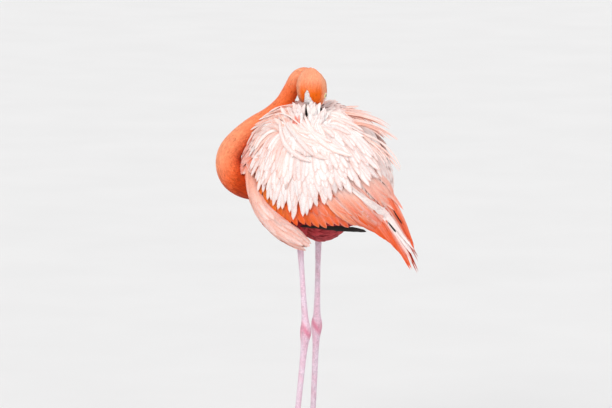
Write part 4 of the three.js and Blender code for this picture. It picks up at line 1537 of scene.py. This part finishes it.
@dataclass
class FlightFeathers:
    """Black flight feathers of a folded wing, which show as a dark line below the coverts.

    `slits` are short dark tips between the drooping feathers: the X and Z of the root, the run in X and
    Z, and the half width. `slit_lift` is their height over the coat at the root and at the tip, and
    `nearer` how much further in they lie on the right.
    """

    side: Side
    count: int = 6
    slits: Rows = ((137, 529, 15, -18, 2.0), (147, 549, 16, -23, 1.5))
    slit_lift: tuple[float, float] = (16.5, 17.0)
    nearer: float = 14.0

    def build(self, finish: Material) -> Object:
        """Grows the feathers.

        Args:
            finish: the material.

        Returns:
            The piece.
        """
        chance = np.random.default_rng([SEED, 8, self.side + 1])
        name = f"remiges_{self.side.label}"
        coat = Plumage(f"{name}_feathers", LONG, chance)
        surface = CoatSide(self.side)
        i = np.linspace(0, 1, self.count)
        x, z = -16 + 30 * i, 510 + 2 * i
        path, face = lay(surface, x, z, 82 + 14 * i, -6 - 10 * i, LONG, (-8, -6), bow=-0.05)
        hue = blend(Hue.BLACK, Hue.SOOT, chance.random(self.count))
        coat.grow(path, face, 6.0, surface.unwrap(x, z), (hue, hue, hue, Hue.SOOT.rgb()))
        x, z, dx, dz, half = np.array(self.slits, dtype=float).T
        x = x - (0.0 if self.side == Side.LEFT else self.nearer)
        path, face = lay(surface, x, z, dx, dz, LONG, self.slit_lift)
        coat.grow(path, face, half, surface.unwrap(x, z), (Hue.BLACK.rgb(),) * 4)
        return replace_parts(coat.piece(finish), name)


@dataclass
class FlankFeathers:
    """The pale bundle of long loose feathers that hangs from one side of the breast to below the belly."""

    side: Side
    sections: Rows = (
        (-119, 40, 644, 12, 6), (-113, 64, 594, 12, 8), (-93, 82, 551, 15, 9), (-62, 88, 519, 19, 9),
        (-30, 82, 495, 19, 8), (-8, 74, 481, 9, 4),
    )
    per_row: int = 9

    def build(self, finish: Material, roots: Roots) -> Object:
        """Grows the bundle.

        Args:
            finish: the material.
            roots: keeps the roots and their colours.

        Returns:
            The piece.
        """
        chance = np.random.default_rng([SEED, 9, self.side + 1])
        name = f"flank_{self.side.label}"
        coat = Plumage(f"{name}_feathers", LONG, chance)
        rows = tuple((x, self.side * y, z, wide * 0.93, deep * 0.85) for x, y, z, wide, deep in self.sections)
        body = Loft(rows, depth_axis=(0, 1, 0))
        for row, start in enumerate(np.linspace(0.0, 0.74, 11)):
            b = (np.arange(self.per_row) + 0.5 * (row % 2)) * TURN / self.per_row
            a = start + 0.03 * chance.random(self.per_row)
            run = np.minimum(0.3 + 0.06 * chance.random(self.per_row), 1.0 - a)
            path, face = lay(body, a, b, run, 0.25 * chance.standard_normal(self.per_row), LONG, (-1.5, 1.2))
            loose = LONG.along()[None, :, None] ** 2 * chance.random((self.per_row, 1, 1))
            path = path + loose * smoothstep(np.array(start), 0.35, 0.7) * np.array([11.0, 0.0, -9.0])
            hue = 0.85 * blend(Hue.BLUSH, Hue.SALMON, 0.35 * chance.random(self.per_row))
            hue = between(hue, Hue.SALMON, 0.6 * (start < 0.12))
            roots.note(path[:, 1], hue)
            coat.grow(path, face, 4.6, body.unwrap(a, b) * 0.2 + 0.7,
                      (hue, hue, between(hue, Hue.WHITE, 0.35), blend(Hue.BLUSH, Hue.SALMON, 0.6)))
        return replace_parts(coat.piece(finish), name)


@dataclass
class TailFan:
    """The short tail, a fan in two layers."""

    count: int = 7

    def build(self, finish: Material) -> Object:
        """Grows the tail.

        Args:
            finish: the material.

        Returns:
            The piece.
        """
        chance = np.random.default_rng([SEED, 10])
        coat = Plumage("tail_feathers", LONG, chance)
        for layer in (0, 1):
            i = np.linspace(-2, 2, self.count + layer)[:, None]
            root = np.concatenate([112 + 0 * i, 8 * i, 566 + 3.0 * layer + 0 * i], 1)
            tip = np.concatenate([176 - 3 * np.abs(i) - 12 * layer, 13 * i, 506 + 8.0 * layer + 0 * i], 1)
            control = np.concatenate([150 + 0 * i, 11 * i, 540 + 3.0 * layer + 0 * i], 1)
            path = bent(root, control, tip, LONG)
            face = np.broadcast_to(np.array([0.66, 0, 0.75]), path.shape)
            hue = blend(Hue.COVERT, Hue.SALMON, 0.3 + 0.5 * chance.random(len(i)))
            coat.grow(path, face, 7.5, np.stack([0.25 + i[:, 0] * 0.01, 0.9 + 0 * i[:, 0]], -1),
                      (hue, hue, hue, between(hue, Hue.PALE, 0.4)))
        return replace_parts(coat.piece(finish), "tail")


@dataclass
class BackPlumes:
    """Long lifted plumes of the back, each a sheaf of a few narrow feathers.

    `sheaves` and the thinner `ribbons` hold the root, the tip, the way the middle is pushed and the half
    width.
    """

    sheaves: Sheaves = (
        ((8, -4, 728), (110, 8, 724), (0, 0, 12), 7), ((10, -12, 722), (151, -20, 703), (14, 0, 26), 7.5),
        ((20, -28, 712), (168, -32, 680), (22, 0, 30), 8), ((30, -48, 696), (178, -58, 626), (36, -4, 42), 8),
        ((40, -56, 690), (128, -66, 650), (14, -6, 16), 9), ((0, 16, 730), (33, 30, 747), (0, 0, -4), 6),
        ((4, 26, 724), (79, 35, 736), (0, 0, 4), 7), ((14, 36, 714), (104, 42, 690), (8, 0, 12), 8),
        ((24, 50, 700), (112, 52, 652), (14, 4, 14), 9),
    )
    ribbons: Sheaves = (
        ((-4, -82, 706), (-74, -46, 722), (-8, -12, 34), 5.5),
        ((-22, -94, 670), (-84, -46, 722), (-4, -6, 8), 5.0),
        ((-30, -90, 690), (-92, -44, 706), (-6, -8, 14), 4.5),
    )
    each: int = 9

    def build(self, finish: Material, roots: Roots) -> Object:
        """Grows the sheaves."""
        chance = np.random.default_rng([SEED, 11])
        coat = Plumage("back_plumes", PLUME, chance)
        for sheaf in self.sheaves:
            self.sheaf(coat, self.each, *sheaf)
        for ribbon in self.ribbons:
            self.sheaf(coat, 2, *ribbon)
        return coat.piece(finish)

    def sheaf(self, coat: Plumage, each: int, root: Sequence[float], tip: Sequence[float],
              bow: Sequence[float], wide: float) -> None:
        """Adds one sheaf of narrow feathers that part towards their tips.

        Args:
            coat: the plumage that takes them.
            each: how many feathers it has.
            root: where it starts.
            tip: where it ends.
            bow: the push on its middle.
            wide: its half width.
        """
        chance, root, tip = coat.chance, np.array(root), np.array(tip)
        face = unit(np.array([0.1, -0.6, 0.8]))
        across = unit(np.cross(tip - root, face))
        place = np.linspace(-1, 1, each)[:, None]
        offset = place * across * wide * 0.75 + 1.6 * chance.standard_normal((each, 1)) * face
        reach = 1 - 0.3 * chance.random((each, 1)) * (np.arange(each)[:, None] % 3 > 0)
        start = root + offset * 0.9
        end = root + (tip - root) * reach + offset * 0.8
        control = (start + end) / 2 + np.array(bow) * (0.8 + 0.3 * chance.random((each, 1)))
        path = bent(start, control, end, PLUME)
        faces = np.broadcast_to(face, path.shape)
        hue = blend(Hue.SALMON, Hue.PALE, 0.3 + 0.7 * chance.random(each))
        where = np.stack([0.02 + 0.001 * np.arange(each) + (root[1] > 0) * 0.9, np.full(each, 0.5)], -1)
        coat.grow(path, faces, 0.36 * wide, where,
                  (hue, hue, between(hue, Hue.PALE, 0.6),
                   between(hue, Hue.SALMON, 0.6 * chance.random(each))))


# ---- skin, core, bill, eyes and claws


def tube(rings: Array) -> Body:
    """A closed body of rings of points, as its points and faces."""
    count, sides = rings.shape[:2]
    faces = [tuple(range(sides))[::-1], tuple((count - 1) * sides + k for k in range(sides))]
    for ring in range(count - 1):
        for k in range(sides):
            low, after = ring * sides + k, ring * sides + (k + 1) % sides
            faces.append((low, after, after + sides, low + sides))
    return rings.reshape(-1, 3), faces


def mesh_of(name: str, bodies: Sequence[Body]) -> Mesh:
    """One mesh of several closed bodies given in millimetres, each facing outwards.

    Args:
        name: the mesh's name.
        bodies: the bodies.

    Returns:
        The mesh.
    """
    points, faces, start = [], [], 0
    for places, loops in bodies:
        points.append(places)
        faces += [tuple(start + k for k in loop) for loop in loops]
        start += len(places)
    mesh = bpy.data.meshes.new(name)
    mesh.from_pydata(metres(np.concatenate(points)).tolist(), [], faces)
    shape = bmesh.new()
    shape.from_mesh(mesh)
    bmesh.ops.recalc_face_normals(shape, faces=shape.faces)
    shape.to_mesh(mesh)
    shape.free()
    return mesh


def settled(piece: Object) -> Mesh:
    """The mesh of an object with its modifiers applied."""
    depsgraph = bpy.context.evaluated_depsgraph_get()
    return bpy.data.meshes.new_from_object(piece.evaluated_get(depsgraph))


def positions(mesh: Mesh) -> Array:
    """The vertices of a mesh in millimetres in the bird's frame."""
    flat = np.empty(len(mesh.vertices) * 3, dtype=np.float32)
    mesh.vertices.foreach_get("co", flat)
    lift = metres(np.zeros(3))[2] * 1000
    return flat.reshape(-1, 3).astype(float) * 1000 - (0, 0, lift)


def fuse(mesh: Mesh, voxel_mm: float, smooth: int, inset_mm: float = 0.0) -> Mesh:
    """Fuses the bodies of a mesh into one even skin.

    Args:
        mesh: the bodies.
        voxel_mm: the size of the new faces.
        smooth: how many times it is smoothed.
        inset_mm: how far it then sinks.

    Returns:
        The new mesh.
    """
    work = linked(mesh.name, mesh)
    remesh = work.modifiers.new("fuse", "REMESH")
    remesh.mode, remesh.voxel_size = "VOXEL", voxel_mm / 1000
    soften = work.modifiers.new("soften", "SMOOTH")
    soften.factor, soften.iterations = 0.5, smooth
    if inset_mm:
        sink = work.modifiers.new("sink", "DISPLACE")
        sink.strength, sink.mid_level = -inset_mm / 1000, 0.0
    result = settled(work)
    bpy.data.objects.remove(work)
    return result


@dataclass
class Skin:
    """One skin over trunk, neck, head and legs. It carries the lids, the bare lores and the leg's scales.

    `coat_mm` is how far it lies below the trunk's surface, and `thin_mm` below that of neck and head.
    The voxels are those of the soft parts and, finer, of head and legs. Feathers end at `bare_below`.
    """

    coat_mm: float = 2.6
    thin_mm: float = 0.9
    voxel_mm: float = 3.2
    fine_mm: float = 1.15
    lid_ring: float = 6.6
    lid_half: float = 1.3
    bare_below: float = 474.0
    joint_at: float = 301.0

    def lids(self) -> list[Body]:
        """A soft ring round each eye.

        Returns:
            The rings.
        """
        rings = []
        count, sides = 28, 8
        for side in Side:
            turn, round_ = turns(count)[:, None], turns(sides)[None, :]
            reach = self.lid_ring + self.lid_half * np.cos(round_)
            out = (EYE.out + 3.6) + self.lid_half * np.sin(round_)
            places = HEAD.place(EYE.ahead + reach * np.cos(turn), EYE.up + 0.86 * reach * np.sin(turn),
                                -side * out + 0 * turn)
            faces = [((r * sides) + k, (r * sides) + (k + 1) % sides,
                      ((r + 1) % count * sides) + (k + 1) % sides, ((r + 1) % count * sides) + k)
                     for r in range(count) for k in range(sides)]
            rings.append((places.reshape(-1, 3), faces))
        return rings

    def build(self, finish: Material, roots: Roots, bare: Bareness) -> Object:
        """Builds the skin.

        Args:
            finish: the skin's material.
            roots: the coat's roots, for colour.
            bare: how bare the head is at places of it.

        Returns:
            The piece.
        """
        trunk = Loft(TRUNK.sections, grow=-self.coat_mm)
        neck = Loft(NECK.sections, depth_axis=NECK.depth_axis, grow=-self.thin_mm)
        skull = Loft(SKULL.sections, depth_axis=SKULL.depth_axis, grow=-self.thin_mm)
        soft = [tube(trunk.rings(60, 48)), tube(neck.rings(150, 32))]
        soft += [tube(Loft(leg.loft(THIGH).sections, depth_axis=(1, 0, 0), grow=-1.2).rings(20, 28))
                 for leg in LEGS.values()]
        coarse = fuse(mesh_of("soft_skin", soft), self.voxel_mm, 6)

        firm = [tube(skull.rings(60, 56)), *self.lids()]
        firm += [tube(leg.loft(LEG).rings(170, 24)) for leg in LEGS.values()]
        fine = mesh_of("firm_skin", firm)
        shape = bmesh.new()
        shape.from_mesh(fine)
        for side in Side:
            shape.from_mesh(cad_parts[f"foot_{side.label}"].data)
        shape.to_mesh(fine)
        shape.free()

        body = linked("skin_soft", coarse)
        limbs = linked("skin_firm", fuse(fine, self.fine_mm, 3))
        union = body.modifiers.new("join", "BOOLEAN")
        union.operation, union.object, union.solver = "UNION", limbs, "MANIFOLD"
        mesh = settled(body)
        mesh.name = "skin"
        bpy.data.objects.remove(body)
        bpy.data.objects.remove(limbs)
        paint(mesh, self.colours(positions(mesh), roots, bare))
        piece = place_object("skin", mesh, finish)
        flesh = ["trunk", "neck_base", "neck_lower", "neck_middle", "neck_upper", "head"]
        flesh += [f"{part}_{side.label}" for part in ("thigh", "shank", "ankle", "tarsus", "foot")
                  for side in Side]
        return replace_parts(piece, *flesh)

    def colours(self, points: Array, roots: Roots, bare: Bareness) -> Array:
        """Colours of the skin: the coat's under feathers, pale on the lores, lilac and rose on the legs.

        Args:
            points: places on the skin.
            roots: the coat's roots, for colour.
            bare: how bare the head is at places of it.

        Returns:
            A linear colour for each place.
        """
        hue = np.zeros((len(points), 3))
        feathered = points[:, 2] > self.bare_below
        # the coat's colours carry over, painted light and shade included
        hue[feathered] = roots.colour_near(points[feathered]) * 0.9
        ahead, up, out = HEAD.coordinates(points)
        on_head = feathered & (np.abs(ahead) < 50) & (np.hypot(up, out) < 45)
        naked = on_head & (bare(ahead, up, out) > 0.5)
        hue[naked] = Hue.LORES.rgb()
        tongue = naked & (up > 8)
        hue[tongue] = Hue.WHITE.rgb()
        legs = ~feathered
        place = points[legs]
        joint = np.exp(-((place[:, 2] - self.joint_at) / 20) ** 2)
        wave = 0.5 + 0.5 * np.sin(place[:, 2] * 0.13 + 2.0 * np.sin(place[:, 2] * 0.047 + place[:, 0] * 0.2))
        leg = blend(Hue.LILAC, Hue.ROSE, 0.08 + 0.2 * wave)
        leg = between(leg, Hue.MAGENTA, np.clip(joint * (0.25 + 0.4 * wave), 0, 1))
        leg = between(leg, Hue.ROSE, 0.5 * smoothstep(-place[:, 2], -40, -8))
        hue[legs] = leg
        return np.clip(hue, 0, 1)


@dataclass
class PlumageCore:
    """The mass of down under the feathers of the back and wings."""

    voxel_mm: float = 4.0
    inset_mm: float = 4.0

    def build(self, finish: Material, roots: Roots) -> Object:
        """Builds the core from the wings and the mantle.

        Args:
            finish: the material.
            roots: the coat's roots, for colour.

        Returns:
            The piece.
        """
        shape = bmesh.new()
        for name in ("wing_left", "wing_right", "mantle"):
            shape.from_mesh(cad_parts[name].data)
        mesh = bpy.data.meshes.new("plumage_core")
        shape.to_mesh(mesh)
        shape.free()
        away = positions(mesh) - (COAT.x, 0, COAT.z)
        reach = np.linalg.norm(away / (COAT.long, COAT.wide, COAT.high), axis=1)
        away = away / np.maximum(reach, 1.0)[:, None] + (COAT.x, 0, COAT.z)
        mesh.vertices.foreach_set("co", metres(away).ravel())
        core = fuse(mesh, self.voxel_mm, 12, self.inset_mm)
        # the coat's colours carry over, painted light and shade included
        paint(core, roots.colour_near(positions(core)) * 0.85)
        piece = place_object("plumage_core", core, finish)
        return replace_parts(piece, "wing_left", "wing_right", "mantle")


@dataclass
class Bill:
    """The bent bill: a thin upper lid in a deep lower trough, pale at the base and black at the tip."""

    sections: Rows = (
        (30, -2, 13.5, 16.5), (48, -3, 12.5, 16), (66, -5, 11.5, 15.5), (84, -12, 10.5, 15),
        (97, -25, 9, 12), (104, -41, 6.5, 8), (106, -54, 2.5, 3),
    )
    upper: tuple[float, float] = (0.3, 1.0)
    lower: tuple[float, float] = (-1.0, 0.24)
    black_from: float = 24.0
    black_full: float = 33.0
    boxy: float = 0.85

    def mandible(self, name: str, shares: tuple[float, float], finish: Material) -> Object:
        """One mandible between two shares of the bill's half depth.

        Args:
            name: its node.
            shares: the lowest and the highest share.
            finish: the material.

        Returns:
            The piece.
        """
        low, high = shares
        line = HEAD.loft(self.sections)
        a, b = np.meshgrid(np.linspace(0, 1, 90), turns(40), indexing="ij")
        middle, across, up, half = line.frame(a)
        wide, deep = half[..., :1], half[..., 1:]
        flat, tall = (np.sign(wave) * np.abs(wave) ** self.boxy for wave in (np.cos(b), np.sin(b)))
        tip = np.sqrt(np.clip((1 - a) / 0.06, 0.02, 1))[..., None]
        rings = (middle + up * deep * (high + low) / 2 + across * wide * flat[..., None] * tip
                 + up * deep * (high - low) / 2 * tall[..., None] * tip)
        mesh = mesh_of(name, [tube(rings)])
        ahead, height, out = HEAD.coordinates(positions(mesh))
        bend = np.hypot(ahead - 20, height) + 3 * np.sin(out * 0.5)
        dark = smoothstep(bend, self.black_from, self.black_full)
        base = blend(Hue.IVORY, Hue.HORN_PINK, smoothstep(-height, -6, 18) * 0.6)
        paint(mesh, between(base, Hue.BLACK, dark))
        piece = place_object(f"{name}_horn", mesh, finish)
        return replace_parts(piece, name)

    def build(self, finish: Material) -> list[Object]:
        """Both mandibles."""
        return [self.mandible("bill_upper", self.upper, finish),
                self.mandible("bill_lower", self.lower, finish)]


@dataclass
class Eyes:
    """Domed eyes with a pale iris and a round pupil, whose edges are shares of the radius."""

    pupil: float = 0.42
    iris: float = 0.86

    def build(self, finish: Material) -> list[Object]:
        """Builds both eyes.

        Args:
            finish: the material.

        Returns:
            The pieces.
        """
        pieces = []
        r = EYE.radius
        for side in Side:
            name = f"eye_{side.label}"
            polar, turn = np.meshgrid(np.linspace(0.02, math.pi - 0.02, 32), turns(40), indexing="ij")
            rings = HEAD.place(EYE.ahead + r * np.sin(polar) * np.cos(turn),
                               EYE.up + r * np.sin(polar) * np.sin(turn),
                               -side * (EYE.out + r * np.cos(polar)))
            mesh = mesh_of(name, [tube(rings)])
            ahead, up, out = HEAD.coordinates(positions(mesh))
            off = np.hypot(ahead - EYE.ahead, up - EYE.up) / r
            front = -side * out > EYE.out
            hue = np.where((off < self.pupil)[:, None] & front[:, None], Hue.BLACK.rgb(), Hue.IRIS.rgb())
            hue = np.where((off > self.iris)[:, None], Hue.SOOT.rgb(), hue)
            paint(mesh, hue)
            piece = place_object(f"{name}_glass", mesh, finish)
            pieces.append(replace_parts(piece, name))
        return pieces


@dataclass
class Claws:
    """Blunt dark nails at the ends of the toes.

    `profile` holds, along a nail, the distance past the end of the toe, the height of the middle and the
    half width.
    """

    profile: Rows = (
        (0.6, 3.0, 2.1), (2.5, 2.9, 2.2), (5, 2.4, 1.6), (7.4, 1.6, 0.8), (8.3, 1.1, 0.3),
    )

    def build(self, finish: Material) -> list[Object]:
        """Builds the nails of each foot as one piece.

        Args:
            finish: the material.

        Returns:
            The pieces.
        """
        pieces = []
        for side in Side:
            name = side.label
            bodies = []
            foot = LEGS[side].at(16)
            for turn, long in TOES.values():
                angle = math.radians(180 + side * turn)
                way = np.array([math.cos(angle), math.sin(angle), 0])
                rows = []
                for past, height, half in self.profile:
                    x, y, _ = foot + way * (long + past)
                    rows.append((x, y, max(height, half * 0.9 + 0.05), half, half * 0.9))
                bodies.append(tube(Loft(tuple(rows)).rings(12, 14)))
            mesh = mesh_of(f"claws_{name}", bodies)
            paint(mesh, np.broadcast_to(Hue.NAIL.rgb(), (len(mesh.vertices), 3)))
            piece = place_object(f"claws_{name}", mesh, finish)
            pieces.append(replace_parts(piece, *(f"claw_{toe}_{name}" for toe in TOES)))
        return pieces


@dataclass
class DisplayBase:
    """The oiled wooden plate that carries the bird."""

    def dress(self, finish: Material) -> Object:
        """Gives the plate its wood."""
        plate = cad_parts["stand_base"]
        plate.data.materials.clear()
        plate.data.materials.append(finish)
        return plate


# ---- floor, lights and camera


@dataclass
class Studio:
    """A pale floor, soft lights and the camera.

    `lamps` holds each light's name, place, width in degrees, strength and colour. The camera looks at
    `target` from `distance` metres, turned by `azimuth` and raised by `elevation` degrees.
    """

    azimuth: float = 12.0
    elevation: float = 8.0
    distance: float = 8.0
    target: Point = (-0.020, 0.0, 0.56535)
    lens: float = 241.3
    lamps: tuple[tuple[object, ...], ...] = (
        ("key", (-1.3, -4.0, 3.6), 34, 1.6, "#FFFAF5"), ("fill", (3.8, -3.0, 2.2), 60, 0.85, "#FFFFFF"),
        ("back", (1.2, 3.8, 3.2), 50, 0.7, "#FFFFFF"),
    )
    room: str = "#EDEFF2"

    def floor(self) -> Object:
        """Lays the floor.

        Returns:
            The floor.
        """
        shape = bmesh.new()
        bmesh.ops.create_grid(shape, x_segments=4, y_segments=4, size=30.0)
        mesh = bpy.data.meshes.new("floor")
        shape.to_mesh(mesh)
        shape.free()
        nodes = Nodes("matt_paper_floor")
        place = nodes.add("ShaderNodeTexCoord").outputs["Object"]
        noise = nodes.add("ShaderNodeTexNoise", {"Vector": place, "Scale": 3.0, "Detail": 2.0})
        paper = nodes.add("ShaderNodeValToRGB", {0: noise.outputs["Fac"]}, ((0.3, 0.78), (0.7, 0.8)))
        mesh.materials.append(nodes.finish(paper.outputs[0], 0.9))
        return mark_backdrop(linked("floor", mesh))

    def light(self, name: str, place: Point, width: float, strength: float, code: str) -> Object:
        """A distant soft light that shines from a place towards the bird's middle."""
        lamp = bpy.data.lights.new(name, "SUN")
        lamp.angle, lamp.energy, lamp.color = math.radians(width), strength, linear(code)
        item = linked(name, lamp)
        item.location = place
        item.rotation_euler = (-Vector(place)).to_track_quat("-Z", "Y").to_euler()
        return item

    def build(self) -> None:
        """Sets the studio."""
        self.floor()
        for lamp in self.lamps:
            self.light(*lamp)
        world = bpy.data.worlds.new("pale_room")
        world.use_nodes = True
        sky = world.node_tree.nodes["Background"]
        sky.inputs[0].default_value = (*linear(self.room), 1)
        sky.inputs[1].default_value = 0.6
        bpy.context.scene.world = world
        bpy.context.scene.view_settings.view_transform = "Standard"

        turn, rise = math.radians(self.azimuth), math.radians(self.elevation)
        back = Vector((math.sin(turn) * math.cos(rise), -math.cos(turn) * math.cos(rise), math.sin(rise)))
        data = bpy.data.cameras.new("camera")
        data.lens, data.sensor_width, data.clip_end = self.lens, 36.0, 200.0
        camera = linked("camera", data)
        camera.location = Vector(self.target) + back * self.distance
        camera.rotation_euler = (-back).to_track_quat("-Z", "Y").to_euler()
        bpy.context.scene.camera = camera


def report(*pieces: Object) -> None:
    """Logs pieces as they are finished."""
    for piece in pieces:
        log.info("%s: %d faces", piece.name, len(piece.data.polygons))


def main() -> None:
    """Builds the flamingo piece by piece."""
    logging.basicConfig(level=logging.INFO)
    roots = Roots()
    vane = FeatherFinish("feather_keratin", depth=0.2).material()
    down = FeatherFinish("short_feather_keratin", roughness=0.8, barb_mm=1.2, depth=0.12).material()
    long_vane = FeatherFinish("long_feather_keratin", barb_mm=1.6, depth=0.24).material()
    flight = FeatherFinish("flight_feather_keratin", roughness=0.5, barb_mm=1.2, depth=0.4).material()
    horn = HornFinish("bill_keratin").material()
    nail = HornFinish("nail_keratin", roughness=0.4).material()
    head_coat = HeadCoat()
    report(NeckCoat().build(down, roots))
    report(head_coat.build(down, roots))
    report(BodyCoat().build(vane, roots))
    report(MantleCoat().build(vane, roots))
    report(BackPlumes().build(long_vane, roots))
    for side in Side:
        report(ScapularFan(side).build(long_vane, roots))
        report(WingCoverts(side).build(vane, roots))
        report(Tertials(side).build(long_vane, roots))
        report(FlightFeathers(side).build(flight))
        report(FlankFeathers(side).build(long_vane, roots))
    report(TailFan().build(long_vane))
    skin = SkinFinish().material()
    report(Skin().build(skin, roots, head_coat.bare))
    report(PlumageCore().build(DownFinish().material(), roots))
    report(*Bill().build(horn))
    report(*Eyes().build(EyeFinish().material()))
    report(*Claws().build(nail))
    report(DisplayBase().dress(WoodFinish().material()))
    Studio().build()


if __name__ == "__main__":
    main()
